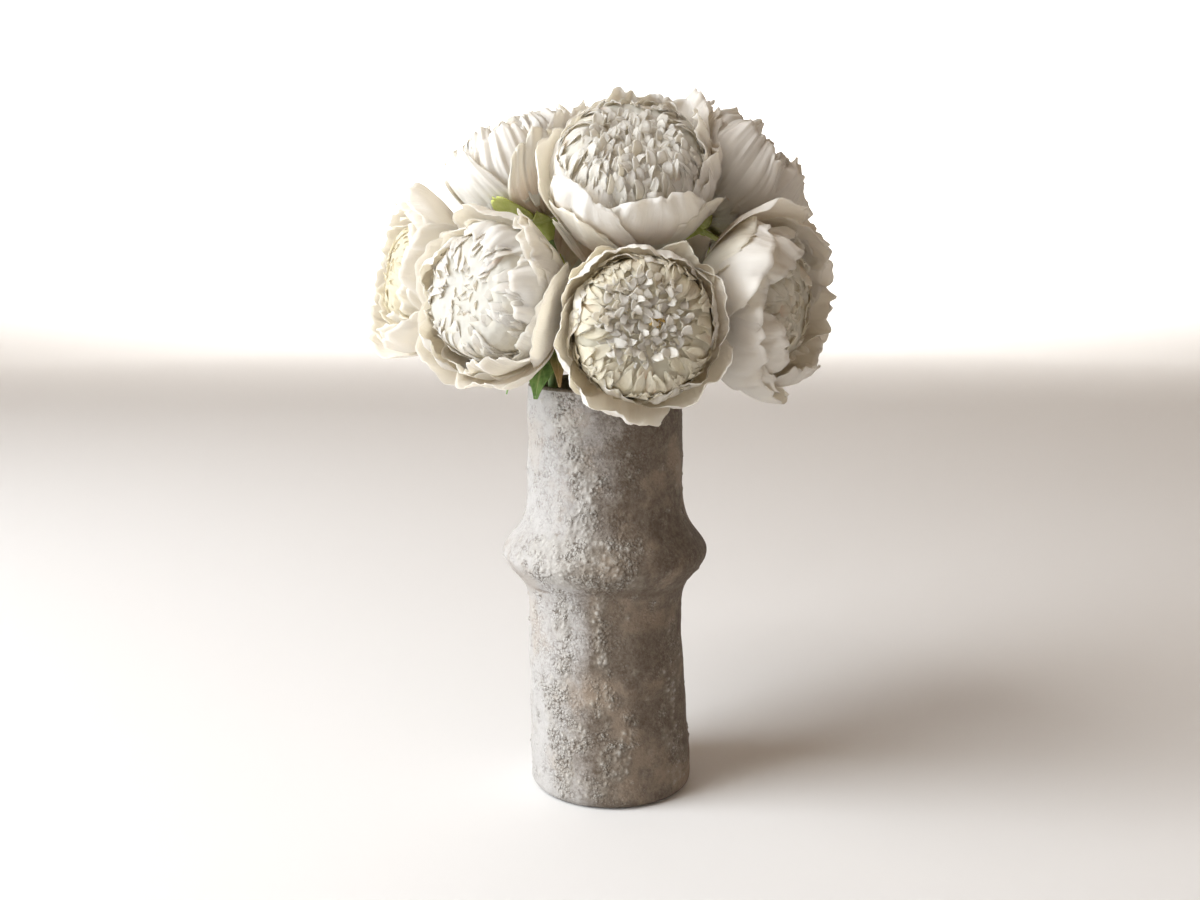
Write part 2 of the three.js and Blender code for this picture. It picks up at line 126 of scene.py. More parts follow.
BLOOM_PLACES = table(
    "name middle face radius turn open",
    ("front", (17, -84, 313), (0.1, -0.98, 0.08), 50, 12, 6),
    ("front_left", (-71, -52, 329), (-0.58, -0.8, 0.1), 51, 40, 14),
    ("left", (-127, 26, 339), (-0.88, -0.32, 0.22), 52, 5, 8),
    ("right", (92, -26, 323), (0.86, -0.5, -0.04), 56, 25, 12),
    ("top_front", (11, -32, 399), (0.02, -0.66, 0.75), 56, 50, 4),
    ("top_left", (-57, 20, 408), (-0.34, 0.12, 0.93), 51, 18, 8),
    ("top_right", (77, 28, 402), (0.62, 0.18, 0.76), 53, 33, 4),
    ("top_back", (10, 68, 405), (-0.04, 0.52, 0.85), 52, 8, 8),
    ("back_left", (-57, 100, 334), (-0.48, 0.86, 0.16), 52, 29, 8),
    ("back", (38, 107, 330), (0.3, 0.94, 0.1), 52, 47, 8),
    ("back_right", (103, 60, 334), (0.88, 0.44, 0.16), 52, 3, 8),
)
BLOOMS = {row["name"]: row for row in BLOOM_PLACES}
print("blooms:", len(BLOOMS))

# %% [markdown]
# ## How full each bloom is
#
# The heart is a dome of small petals, given by its radius, height and squareness: a tall heart is a
# pompon, and a low square one is a flat cushion. crowd is how many petals it has, breadth is how broad
# they are, and relief is how rough the dome is. frill is how ragged the rims are and pleat how deep the
# folds that fan out over the broad petals. rows is how many rows of those surround the heart, and cover
# is 1 where one more row laps over its shoulder. cream is how much warmer than white the bloom is,
# partly its own tint and partly painted warm shade inside it.
# %% Heart table
HEARTS = table(
    "name heart crowd relief breadth frill rows cover cream pleat",
    ("front", (46, 41, 5), 280, 0.42, 1.4, 1.0, 2, 0, 0.6, 0.9),
    ("front_left", (42, 44, 4.4), 300, 0.34, 1.0, 1.2, 2, 1, 0, 0.95),
    ("left", (35, 34, 4), 150, 0.4, 1.2, 1.3, 3, 0, 0.7, 0.8),
    ("right", (37, 36, 4), 170, 0.45, 1.3, 1.3, 3, 1, 0.4, 0.7),
    ("top_front", (45, 46, 4.5), 330, 0.48, 1.0, 1.0, 2, 1, 0.1, 0.9),
    ("top_left", (46, 44, 4.4), 260, 0.6, 1.1, 2.0, 2, 1, 0.2, 1.5),
    ("top_right", (44, 43, 4.4), 240, 0.6, 1.2, 1.8, 2, 1, 0.2, 1.2),
    ("top_back", (46, 45, 4.4), 260, 0.6, 1.1, 1.3, 2, 1, 0.1, 0.9),
    ("back_left", (46, 45, 4.4), 260, 0.6, 1.1, 1.2, 2, 1, 0, 0.9),
    ("back", (46, 40, 5), 230, 0.6, 1.4, 1.0, 2, 0, 0.5, 0.8),
    ("back_right", (46, 45, 4.4), 260, 0.6, 1.1, 1.4, 2, 1, 0.1, 0.9),
)
for row in HEARTS:
    BLOOMS[row["name"]].update(row)
print("small petals in all:", sum(bloom["crowd"] for bloom in BLOOMS.values()))

# %% [markdown]
# ## A frame for each bloom
#
# A petal is easiest to describe in its bloom's own terms: how far from the axis, how far round it, and
# how high over the base. Four vectors per bloom turn that into a place in the room.
# %% Bloom frames
def unit(vector):
    vector = np.asarray(vector, float)
    return vector / np.linalg.norm(vector)


for bloom in BLOOMS.values():
    bloom["middle"] = np.array(bloom["middle"], float)
    bloom["axis"] = unit(bloom["face"])
    bloom["base"] = bloom["middle"] - BLOOM_DEPTH * bloom["axis"]
    bloom["side"] = unit(np.cross((0, 0, 1), bloom["axis"]))
    bloom["up"] = np.cross(bloom["axis"], bloom["side"])
    bloom["size"] = bloom["radius"] / BLOOM_RADIUS


def place(bloom, distance, angle, height):
    """Points of a bloom, from arrays of distance from its axis, angle round it and height over its base."""
    across = distance * np.cos(angle)
    upward = distance * np.sin(angle)
    return (
        bloom["base"]
        + across[..., None] * bloom["side"]
        + upward[..., None] * bloom["up"]
        + (height + 0 * across)[..., None] * bloom["axis"]
    )


print("base of the front bloom in mm:", BLOOMS["front"]["base"].round(1))

# %% [markdown]
# ## Blooms that press against each other
#
# In a tight bunch the outer petals flatten where two heads meet. A physics simulation would show this,
# but slowly. Here each pair of blooms shares a plane between them. A petal that reaches for the plane
# comes ever closer and never through it, so neighbours lie against each other. Petals of inner layers
# stop a little earlier.
# %% Pressing
BLOOM_GAP = 1.6
PRESS_DEPTH = 9.0
PETAL_ALLOWANCE = 0.4

for name, bloom in BLOOMS.items():
    bloom["planes"] = []
    for other_name, other in BLOOMS.items():
        if other_name == name:
            continue
        away = other["middle"] - bloom["middle"]
        share = bloom["radius"] / (bloom["radius"] + other["radius"])
        reach = np.linalg.norm(away) * share - BLOOM_GAP / 2 - PETAL_ALLOWANCE
        bloom["planes"].append((unit(away), reach))


def pressed(points, bloom, inset):
    """Bends points clear of the neighbours. inset is how much earlier than the plane they stop."""
    for normal, reach in bloom["planes"]:
        out = (points - bloom["middle"]) @ normal
        free = reach - inset - PRESS_DEPTH
        over = np.maximum(out - free, 0)
        allowed = PRESS_DEPTH * (1 - np.exp(-over / PRESS_DEPTH))
        points = points + (allowed - over)[..., None] * normal
    return points


print("planes for each bloom:", len(BLOOMS["front"]["planes"]))

# %% [markdown]
# ## Nets of points
#
# Petals, leaves and the wall of the vase are all grids of points. One helper gives the places along and
# across a blade, one the angles round a circle, and one joins numbers into points. A loop over single
# points would be plainer, but slow for a million of them, so numpy works on whole grids.
# %% Nets
def net(rows, columns):
    """How far along a blade the points of its grid lie, from 0 to 1, and how far across, from -1 to 1."""
    return np.linspace(0, 1, rows)[:, None], np.linspace(-1, 1, columns)[None, :]


def circle(count):
    """Angles of points that lie evenly round a circle."""
    return np.linspace(0, 2 * math.pi, count, endpoint=False)


def together(*parts):
    """Numbers or grids of them, as one grid of points or of notes."""
    return np.stack(np.broadcast_arrays(*parts), -1)


print("a net of 3 x 2 points:", together(*net(3, 2)).shape)

# %% [markdown]
# ## Meshes made of thin blades
#
# Petals, sepals and leaves are all thin blades. A single surface with no thickness would be quicker, but
# it has no edge to catch the light, and it is not a closed shape. So each blade starts as a grid of
# points on its middle surface, gets a face on each side, and a narrow wall round its rim. Many blades are
# collected into one mesh.
#
# Each point also keeps three numbers for the material: how far along the blade it lies, how far across,
# and how deep inside the flower. A fourth is one draw for the whole blade, so that neighbours differ in
# tint.
# %% Blade builder
def blade_faces(rows, columns):
    """Quads of a closed blade with rows x columns points on each side."""
    index = np.arange(rows * columns).reshape(rows, columns)
    low = np.stack([index[:-1, :-1], index[1:, :-1], index[1:, 1:], index[:-1, 1:]], -1).reshape(-1, 4)
    rim = np.concatenate([index[:-1, 0], index[-1, :-1], index[:0:-1, -1], index[0, :0:-1]])
    following = np.roll(rim, -1)
    other_side = rows * columns
    wall = np.stack([following, rim, rim + other_side, following + other_side], -1)
    return np.concatenate([low, low[:, ::-1] + other_side, wall])


def blade_normals(grid):
    along = np.gradient(grid, axis=0)
    across = np.gradient(grid, axis=1)
    normals = np.cross(along, across)
    return normals / np.maximum(np.linalg.norm(normals, axis=-1, keepdims=True), 1e-9)


class Blades:
    """Collects blades and solids, and turns them into one Blender object."""

    def __init__(self):
        self.points = []
        self.faces = []
        self.notes = []
        self.chances = []
        self.slots = []
        self.count = 0

    def add(self, points, faces, notes, chance, slot):
        points = points.reshape(-1, 3)
        assert np.isfinite(points).all(), "a point has no place"
        self.points.append(points)
        self.faces += [[corner + self.count for corner in face] for face in faces]
        self.notes.append(np.broadcast_to(notes, points.shape))
        self.chances.append(np.broadcast_to(chance, len(points)))
        self.slots += [slot] * len(faces)
        self.count += len(points)

    def blade(self, grid, notes, thickness, chance=0.0, slot=0):
        rows, columns = grid.shape[:2]
        shift = blade_normals(grid) * (np.broadcast_to(thickness, (rows, columns))[..., None] / 2)
        points = np.concatenate([(grid + shift).reshape(-1, 3), (grid - shift).reshape(-1, 3)])
        both = np.concatenate([notes.reshape(-1, 3), notes.reshape(-1, 3)])
        self.add(points, blade_faces(rows, columns).tolist(), both, chance, slot)

    def tube(self, rings, notes, chance=0.0, slot=0):
        """A closed solid from rings of points, one after another, each with as many points."""
        count, sides = rings.shape[:2]
        index = np.arange(count * sides).reshape(count, sides)
        following = np.roll(index, -1, axis=1)
        walls = np.stack([index[:-1], following[:-1], following[1:], index[1:]], -1).reshape(-1, 4)
        faces = walls.tolist() + [index[0, ::-1].tolist(), index[-1].tolist()]
        self.add(rings, faces, notes, chance, slot)

    def build(self, name, materials):
        mesh = bpy.data.meshes.new(name)
        mesh.from_pydata(np.concatenate(self.points) * MM, [], self.faces)
        note = mesh.attributes.new("note", "FLOAT_VECTOR", "POINT")
        note.data.foreach_set("vector", np.concatenate(self.notes).astype(np.float32).ravel())
        chance = mesh.attributes.new("chance", "FLOAT", "POINT")
        chance.data.foreach_set("value", np.concatenate(self.chances).astype(np.float32))
        for material in materials:
            mesh.materials.append(material)
        mesh.polygons.foreach_set("material_index", self.slots)
        mesh.polygons.foreach_set("use_smooth", np.ones(len(mesh.polygons), bool))
        mesh.update()
        piece = bpy.data.objects.new(name, mesh)
        bpy.context.scene.collection.objects.link(piece)
        return piece


print("quads of a blade of 3 x 3 points:", len(blade_faces(3, 3)))

# %% [markdown]
# ## Materials, written as sums
#
# A material is a graph of nodes. Placing each node by hand is slow to read, so one small class wraps an
# output of a node and lets ordinary arithmetic add the Math nodes. A second class makes any other node
# from its type, its settings and what goes into its sockets.
# %% Shader helpers
class Value:
    """A number or colour that a material's nodes carry."""

    def __init__(self, surface, socket):
        self.surface = surface
        self.socket = socket

    def __add__(self, other):
        return self.surface.math("ADD", self, other)

    __radd__ = __add__

    def __sub__(self, other):
        return self.surface.math("SUBTRACT", self, other)

    def __rsub__(self, other):
        return self.surface.math("SUBTRACT", other, self)

    def __mul__(self, other):
        return self.surface.math("MULTIPLY", self, other)

    __rmul__ = __mul__

    def between(self, low, high):
        """0 below low and 1 above high, with a soft step between them."""
        settings = {"interpolation_type": "SMOOTHSTEP"}
        return self.surface.node("ShaderNodeMapRange", settings, {"Value": self, 1: low, 2: high})


class Surface:
    """A material that is built node by node."""

    def __init__(self, name):
        self.data = bpy.data.materials.new(name)
        self.data.use_nodes = True
        self.tree = self.data.node_tree
        self.tree.nodes.clear()

    def node(self, kind, settings=None, inputs=None, output=0):
        made = self.tree.nodes.new(kind)
        for key, value in (settings or {}).items():
            setattr(made, key, value)
        for key, value in (inputs or {}).items():
            if isinstance(value, Value):
                self.tree.links.new(value.socket, made.inputs[key])
            else:
                made.inputs[key].default_value = value
        return Value(self, made.outputs[output])

    def math(self, operation, *terms):
        return self.node("ShaderNodeMath", {"operation": operation}, dict(enumerate(terms)))

    def blend(self, factor, first, second):
        """first where factor is 0, second where it is 1. Both are colours."""
        inputs = {0: factor, 6: first, 7: second}
        return self.node("ShaderNodeMix", {"data_type": "RGBA", "clamp_factor": True}, inputs, output=2)

    def noise(self, where, scale, detail=3.0, roughness=0.55):
        inputs = {"Vector": where, "Scale": scale, "Detail": detail, "Roughness": roughness}
        return self.node("ShaderNodeTexNoise", None, inputs)

    def parts(self, vector):
        return [self.node("ShaderNodeSeparateXYZ", None, {0: vector}, output=i) for i in range(3)]

    def vector(self, x, y, z):
        return self.node("ShaderNodeCombineXYZ", None, {0: x, 1: y, 2: z})

    def attribute(self, name, output):
        return self.node("ShaderNodeAttribute", {"attribute_name": name}, None, output=output)

    def notes(self):
        """The three numbers of each point, and the draw of its blade."""
        return self.parts(self.attribute("note", 1)) + [self.attribute("chance", 2)]

    def spot(self):
        """Where a point lies in its own piece, in metres."""
        return self.node("ShaderNodeTexCoord", None, None, output=3)

    def bump(self, height, strength, depth):
        """A Normal for small unevenness. depth is in millimetres."""
        inputs = {"Strength": strength, "Distance": depth * MM, "Height": height}
        return self.node("ShaderNodeBump", None, inputs)

    def body(self, base, roughness, more=None):
        inputs = {"Base Color": base, "Roughness": roughness, **(more or {})}
        return self.node("ShaderNodeBsdfPrincipled", None, inputs)

    def lit_through(self, share, body, tint):
        """body, mixed with a share of light that comes through from behind and takes on the tint."""
        glow = self.node("ShaderNodeBsdfTranslucent", None, {"Color": tint})
        return self.node("ShaderNodeMixShader", None, {0: share, 1: body, 2: glow})

    def finish(self, shader):
        end = self.tree.nodes.new("ShaderNodeOutputMaterial")
        self.tree.links.new(shader.socket, end.inputs["Surface"])
        return self.data


def colour(red, green, blue):
    return (red, green, blue, 1.0)


print("shader helpers are ready")

# %% [markdown]
# ## Petal silk
#
# A white peony is never one white. The claw, where the petal is fixed, is yellow-green. The lower petal
# is cream, the upper part nearly pure white, and petals deep in the heart are warmer. That warmer cream
# toward the base and deep in the bloom is partly the petals' own colour and partly painted warm shade
# between the packed petals. A few carry a faint pink blush. Light also passes through a petal, so a
# Translucent shader is mixed in: that is what makes the rims glow and keeps the gaps between petals warm
# instead of black. Fine fibres fan out from the claw and are made as a bump.
# %% Petal material
PETAL_COLOURS = dict(
    white=(0.95, 0.95, 0.95),
    outer_cream=(0.94, 0.93, 0.89),
    inner_cream_and_shade=(0.89, 0.81, 0.52),
    claw=(0.78, 0.76, 0.42),
    peach=(0.94, 0.70, 0.56),
    vein=(0.42, 0.16, 0.09),
    fibre=(0.78, 0.74, 0.64),
    glow=(0.96, 0.90, 0.78),
)
PETAL_GLOW = 0.5
PETAL_BUMP = 0.9


def petal_material():
    tint = {name: colour(*rgb) for name, rgb in PETAL_COLOURS.items()}
    surface = Surface("petal silk")
    along, across, depth, chance = surface.notes()
    fan = surface.vector(across * 11.0 + chance * 40.0, along * 1.8, chance * 23.0)
    fibres = surface.noise(fan, 2.0, 4.0, 0.6)
    crinkle_at = surface.vector(across * 7.0 + chance * 31.0, along * 6.0, chance * 17.0)
    crinkle = surface.noise(crinkle_at, 1.4, 4.0, 0.6)

    # Deeper petals take the warmer, darker cream: partly their own colour, partly painted warm shade inside
    # the bloom.
    cream = surface.blend(depth, tint["outer_cream"], tint["inner_cream_and_shade"])
    reach = along + fibres * 0.24 - 0.12
    petal = surface.blend(reach.between(0.25, 0.85) * (1 - depth * 0.9), cream, tint["white"])
    petal = surface.blend(reach.between(0.02, 0.3), tint["claw"], petal)
    blush = (1 - reach.between(0.35, 0.9)) * chance.between(0.7, 0.98) * 0.8
    petal = surface.blend(blush, petal, tint["peach"])
    lines = surface.noise(surface.vector(across * 5.0, along * 0.7, chance * 9.0), 3.0, 2.0)
    petal = surface.blend(lines.between(0.60, 0.68) * blush, petal, tint["vein"])
    petal = surface.blend(fibres.between(0.3, 0.7) * 0.08, petal, tint["fibre"])

    sheen = {"Specular IOR Level": 0.3, "Sheen Weight": 0.1, "Sheen Roughness": 0.4}
    sheen["Normal"] = surface.bump(fibres * 0.6 + crinkle * 0.4, 0.8, PETAL_BUMP)
    body = surface.body(petal, fibres * 0.2 + 0.45, sheen)
    return surface.finish(surface.lit_through(PETAL_GLOW, body, tint["glow"]))


def plain_material(name, base, roughness):
    surface = Surface(name)
    return surface.finish(surface.body(base, roughness))


PETAL_SILK = petal_material()
STAMEN_GOLD = plain_material("stamen gold", colour(0.52, 0.36, 0.12), 0.6)
print("made materials:", PETAL_SILK.name, "and", STAMEN_GOLD.name)

# %% [markdown]
# ## Soft random lumps
#
# Silk crumples and clay swells in soft random lumps. Blender's noise texture lives in materials only, so
# this is the same idea in numpy: random values on a lattice, blended smoothly between its corners. lumps
# adds up a few sizes of it.
# %% Lattice noise
def lattice(points, seed):
    """Smooth random values from -1 to 1 with lumps about one unit wide."""
    cell = np.floor(points)
    t = points - cell
    t = t * t * (3 - 2 * t)
    total = 0
    for corner in np.ndindex(2, 2, 2):
        at = cell + corner
        weight = np.prod(np.where(corner, t, 1 - t), axis=-1)
        total = total + weight * vary(at[..., 0] + at[..., 1] * 57.0 + at[..., 2] * 113.0, seed)
    return total


def lumps(points, size, seed, octaves=3):
    total = 0
    for k in range(octaves):
        total = total + 0.5**k * lattice(points / size * 2**k + 7.3 * k, seed + k)
    return total / (2 - 0.5 ** (octaves - 1))


print("lumps at the origin:", round(float(lumps(np.zeros((1, 3)), 5.0, 1)[0]), 3))

# %% [markdown]
# ## One broad petal
#
# A peony's broad petals are bowls: each starts flat at the base and curls up round the heart. An arc
# gives that profile, from one slope at the claw to another at the tip. Across the petal, its width is
# wrapped round the bloom's axis. On top of this plain form come the things that make it silk and not
# plastic:
#
# - each petal lies over its neighbour on one side and under it on the other,
# - the rim swings in and out in long waves,
# - pleats fan out from the claw,
# - the tip is rounded and a little uneven.
# %% Broad petals
PETAL_ROOT_RADIUS = 6.0
PETAL_ROOT_HEIGHT = 3.0
PETAL_TIP_ROUND = 0.16
PETAL_FULL_WIDTH_AT = 0.66
CLAW_RADIUS = 14.0
TIP_SQUARENESS = 2.6
TIP_NARROWING = 0.2
RIM_BITES = ((0.022, 3, 1.7), (0.008, 6, 4.0))
WAVES = 2.2
HALF_WAVES = 3.7
RUFFLE_WAVES = 2.3
PLEATS = 4.5
FINE_PLEATS = 7.5
SIDE_INSET = 1.6
NICKS = 3
NICK_WIDTH = 0.06
NICK_DEPTH = 0.022
CLOTH_LUMP = 11.0
PETAL_MIDDLE_THICKNESS = 0.5
PETAL_RIM_THICKNESS = 0.25


def ripples(across, item, waves):
    """Smooth, uneven ups and downs across a petal, about -1 to 1. waves counts the longest ones."""
    total = 0
    for k, share in enumerate((0.5, 0.3, 0.2)):
        frequency = waves * (1 + 0.83 * k) * (1 + 0.15 * vary(item, 20 + k))
        total = total + share * np.sin(frequency * math.pi * across + math.pi * vary(item, 30 + k))
    return total


def broad_petal(bloom, petal, rows, columns):
    """The middle surface of a petal as a grid of points, with its notes."""
    u, v = net(rows, columns)
    item = petal["item"]
    size = bloom["size"]
    uneven = 1
    for k, (depth, nearness, waves) in enumerate(RIM_BITES):
        uneven = uneven + depth * u**nearness * ripples(v, item + 0.5 * k, waves)
    for k in range(NICKS):
        nick = np.exp(-(((v - 0.8 * vary(item, 50 + k)) / NICK_WIDTH) ** 2)) * smoothstep(u, 0.8, 1.0)
        uneven = uneven - NICK_DEPTH * petal["frill"] * nick * (1 + vary(item, 60 + k))
    reach = petal["length"] * u * (1 - PETAL_TIP_ROUND * np.abs(v) ** TIP_SQUARENESS) * uneven
    bend = (petal["end"] - petal["start"]) / petal["length"]
    slope = petal["start"] + bend * reach
    distance = PETAL_ROOT_RADIUS + (np.sin(slope) - math.sin(petal["start"])) / bend
    height = PETAL_ROOT_HEIGHT + (math.cos(petal["start"]) - np.cos(slope)) / bend
    phase = petal["phase"]
    ripple = np.sin(WAVES * math.pi * v + phase) + 0.6 * np.sin(HALF_WAVES * v - 2 * phase)
    out = petal["lift"] * v * u + petal["wave"] * u**4 * ripple
    out = out + petal["ruffle"] * size * smoothstep(u, 0.6, 1.0) ** 2 * ripples(v, item, RUFFLE_WAVES)
    folds = PLEATS if bloom["pleat"] <= 1 else FINE_PLEATS
    out = out + petal["pleat"] * size * np.sqrt(u) * ripples(v, item + 0.25, folds)
    cloth = together(0.5 * v * petal["width"], 0.6 * reach, item * 3.7)
    out = out + petal["crumple"] * size * (0.4 + 0.6 * u) * lumps(cloth, CLOTH_LUMP, 40, 3)
    out = out + petal["curl"] * size * smoothstep(u, 0.7, 1.0) ** 2
    half = (petal["width"] / 2) * smoothstep(u, -0.1, PETAL_FULL_WIDTH_AT)
    half = half * (1 - TIP_NARROWING * smoothstep(u, PETAL_FULL_WIDTH_AT, 1.0) ** 2)
    angle = petal["angle"] + v * half / np.maximum(distance, CLAW_RADIUS)
    grid = place(bloom, distance + out * np.sin(slope), angle, height - out * np.cos(slope))
    grid = pressed(grid, bloom, petal["inset"] + SIDE_INSET * (1 - v))
    return grid, together(u, v, petal["depth"]), u


print("a petal's rim is", PETAL_RIM_THICKNESS, "mm thick")

# %% [markdown]
# ## Layers of broad petals
#
# The first and the third of these layers stand exactly where the plain solids have theirs. The second
# fills the space between: real double peonies have four or five rows of broad petals, each shorter and
# more crumpled than the one outside it. The cover is a row that laps over the shoulder of the heart, so
# that the heart sits in its bloom and not on it. Slopes are in degrees, lengths in millimetres for a
# bloom of the usual size.
# %% Layer table
LAYERS = [
    dict(level=0, count=6, length=86, width=76, start=-4, end=112, opens=1, lift=3.2, wave=1.8, inset=0,
         ruffle=0.8, curl=-1.5, pleat=1.0, crumple=3.0, depth=0.0, grid=(25, 38)),
    dict(level=2, count=5, length=80, width=70, start=0, end=118, opens=0.8, lift=3.4, wave=1.6, inset=1.4,
         ruffle=1.0, curl=-1.5, pleat=1.0, crumple=3.2, depth=0.12, grid=(23, 33)),
    dict(level=1, count=6, length=70, width=50, start=6, end=122, opens=0.5, lift=4, wave=1.8, inset=2.8,
         ruffle=1.4, curl=-0.5, pleat=1.0, crumple=3.0, depth=0.3, grid=(22, 27)),
]
COVER = dict(level=3, count=5, length=92, width=58, start=0, end=133, opens=0.5, lift=3.0, wave=1.6,
             inset=1.6, ruffle=1.5, curl=-3.8, pleat=1.2, crumple=3.4, depth=0.1, grid=(24, 33))
ITEMS_PER_BLOOM = 100
ITEMS_PER_LAYER = 20


def petal_plan(bloom, item, layer, turn):
    """One petal of a layer with its own small differences. turn is its direction in degrees."""
    size = bloom["size"]
    return dict(
        layer,
        item=item,
        angle=math.radians(turn),
        length=layer["length"] * size * (1 + 0.05 * vary(item, 2)),
        width=layer["width"] * size * (1 + 0.06 * vary(item, 3)),
        start=math.radians(layer["start"]),
        end=math.radians(layer["end"] - layer["opens"] * bloom["open"] + 6 * vary(item, 4)),
        lift=layer["lift"] * size,
        wave=layer["wave"] * size,
        phase=math.pi * vary(item, 5),
        ruffle=layer["ruffle"] * bloom["frill"],
        pleat=layer["pleat"] * bloom["pleat"],
        frill=bloom["frill"],
        curl=layer["curl"] * (1 + 0.9 * vary(item, 8)),
        depth=layer["depth"] + 0.25 * bloom["cream"],
    )


def petals_of(bloom, number, layer):
    for i in range(layer["count"]):
        item = ITEMS_PER_BLOOM * number + ITEMS_PER_LAYER * layer["level"] + i
        turn = bloom["turn"] + 360 / layer["count"] * (i + 0.5 * layer["level"]) + 5 * vary(item, 1)
        yield petal_plan(bloom, item, layer, turn)


print("broad petals in a full bloom:", sum(layer["count"] for layer in LAYERS))

# %% [markdown]
# ## Loose petals and bracts in the gaps
#
# Where three round blooms meet, a gap would show the stems. In a real bunch the lowest petals of each
# bloom hang into such a gap, and so do yellow-green bracts. All are blades like the broad petals, only
# flatter. chance is the draw that tints a petal: a high one gives it the peach blush with its brown-red
# lines.
# %% Loose petals
LOOSE_PETAL = dict(length=78, width=62, start=-12, end=98, opens=0, lift=2.0, wave=1.6, inset=0.5,
                   ruffle=1.0, curl=1.0, pleat=1.0, crumple=2.6, depth=0.4, grid=(24, 34), item=9000)
BRACT = dict(length=50, width=19, start=-10, end=52, opens=0, lift=0.6, wave=0.5, inset=0.5,
             ruffle=0.2, curl=0.6, pleat=0.1, crumple=1.0, depth=0.0, grid=(20, 13), item=9100)
LOOSE_PETALS = table(
    "bloom turn chance",
    ("top_front", 228, 0.97),
    ("top_front", 318, 0.2),
    ("top_left", 40, 0.93),
    ("front_left", 52, 0.75),
    ("front", 132, 0.5),
    ("front", 48, 0.3),
    ("right", 132, 0.4),
    ("top_right", 250, 0.5),
)
BRACTS = table("bloom turn", ("top_left", 352))


def loose_blades(kind, plans, name, bloom):
    """Grid, notes, distance along and draw of each loose blade of a kind that belongs to a bloom."""
    rows, columns = kind["grid"]
    for k, plan in enumerate(plans):
        if plan["bloom"] == name:
            petal = petal_plan(bloom, kind["item"] + k, kind, plan["turn"])
            yield *broad_petal(bloom, petal, rows, columns), plan.get("chance", 0.9)


print("loose petals and bracts:", len(LOOSE_PETALS), len(BRACTS))

# %% [markdown]
# ## A bud behind the gap
#
# A peach side bud sits behind the top bloom, in the gap at the left. It has three petals rolled round its
# own axis. It could be a piece of its own, but it grows with the top bloom, so it is a small copy of that
# bloom's settings with another base and axis, and is built together with it.
# %% Bud
BUD_BEARER = "top_front"
BUD_BASE = (-14.0, -22.0, 328.0)
BUD_AXIS = unit((-0.42, -0.12, 0.9))
BUD_SIDE = unit(np.cross((0, 0, 1), BUD_AXIS))
BUD_PETAL = dict(length=50, width=36, start=60, end=100, opens=0, lift=1.6, wave=1.2, inset=0.5,
                 ruffle=0.8, curl=0.5, pleat=0.8, crumple=1.6, depth=0.5, grid=(24, 30), item=9050)
BUD_PETALS = table(
    "bloom turn chance",
    (BUD_BEARER, -40, 0.9),
    (BUD_BEARER, 38, 0.97),
    (BUD_BEARER, 0, 0.93),
)

bud = dict(BLOOMS[BUD_BEARER], base=np.array(BUD_BASE), axis=BUD_AXIS, side=BUD_SIDE, size=1.0, open=0)
bud["up"] = np.cross(BUD_AXIS, BUD_SIDE)
print("petals of the bud:", len(BUD_PETALS))

# %% [markdown]
# ## The crowded heart
#
# Inside the broad petals stand hundreds of small ones. They follow the golden angle, as seeds in a
# sunflower do, which spreads them evenly without rows. All of them grow from the base, so each lies along
# a dome like a leaf of an artichoke, rooted deep inside and with its tip at the surface. Then it is
# twisted, cupped, curled and crumpled.
#
# Lengths and widths come as three numbers: the size at the top of the heart, how much longer or wider the
# petals grow toward its edge, and how much they vary.
# %% Small petals
GOLDEN_ANGLE = math.pi * (3 - math.sqrt(5))
HEART_BASE = 24.0
HEART_EDGE = math.radians(82)
HEART_INSET = 3.0
SMALL_GRID = (8, 6)
SMALL_LENGTH = (14, 5, 3)
SMALL_WIDTH = (6.6, 3, 1.8)
SMALL_TWIST = 0.5
TIP_SCATTER = 0.1
TURN_SCATTER = 0.45
ROUNDED_TIP = 0.27
RAGGED_TIP = 0.13
SMALL_ITEM = 2000
SMALL_ITEMS_PER_BLOOM = 300


def dome(bloom, polar, around):
    """Points on a dome with full shoulders, from the angle off its axis and the angle round it."""
    radius, height, square = bloom["heart"]
    flat = np.abs(np.sin(polar) / radius) ** square + np.abs(np.cos(polar) / height) ** square
    outward = together(np.sin(polar) * np.cos(around), np.sin(polar) * np.sin(around), np.cos(polar))
    return outward * bloom["size"] * flat[..., None] ** (-1 / square)


def grown(sizes, share, draw):
    """A size from its value at the top of the heart, its growth toward the edge, and its spread."""
    first, growth, spread = sizes
    return first + growth * share + spread * draw


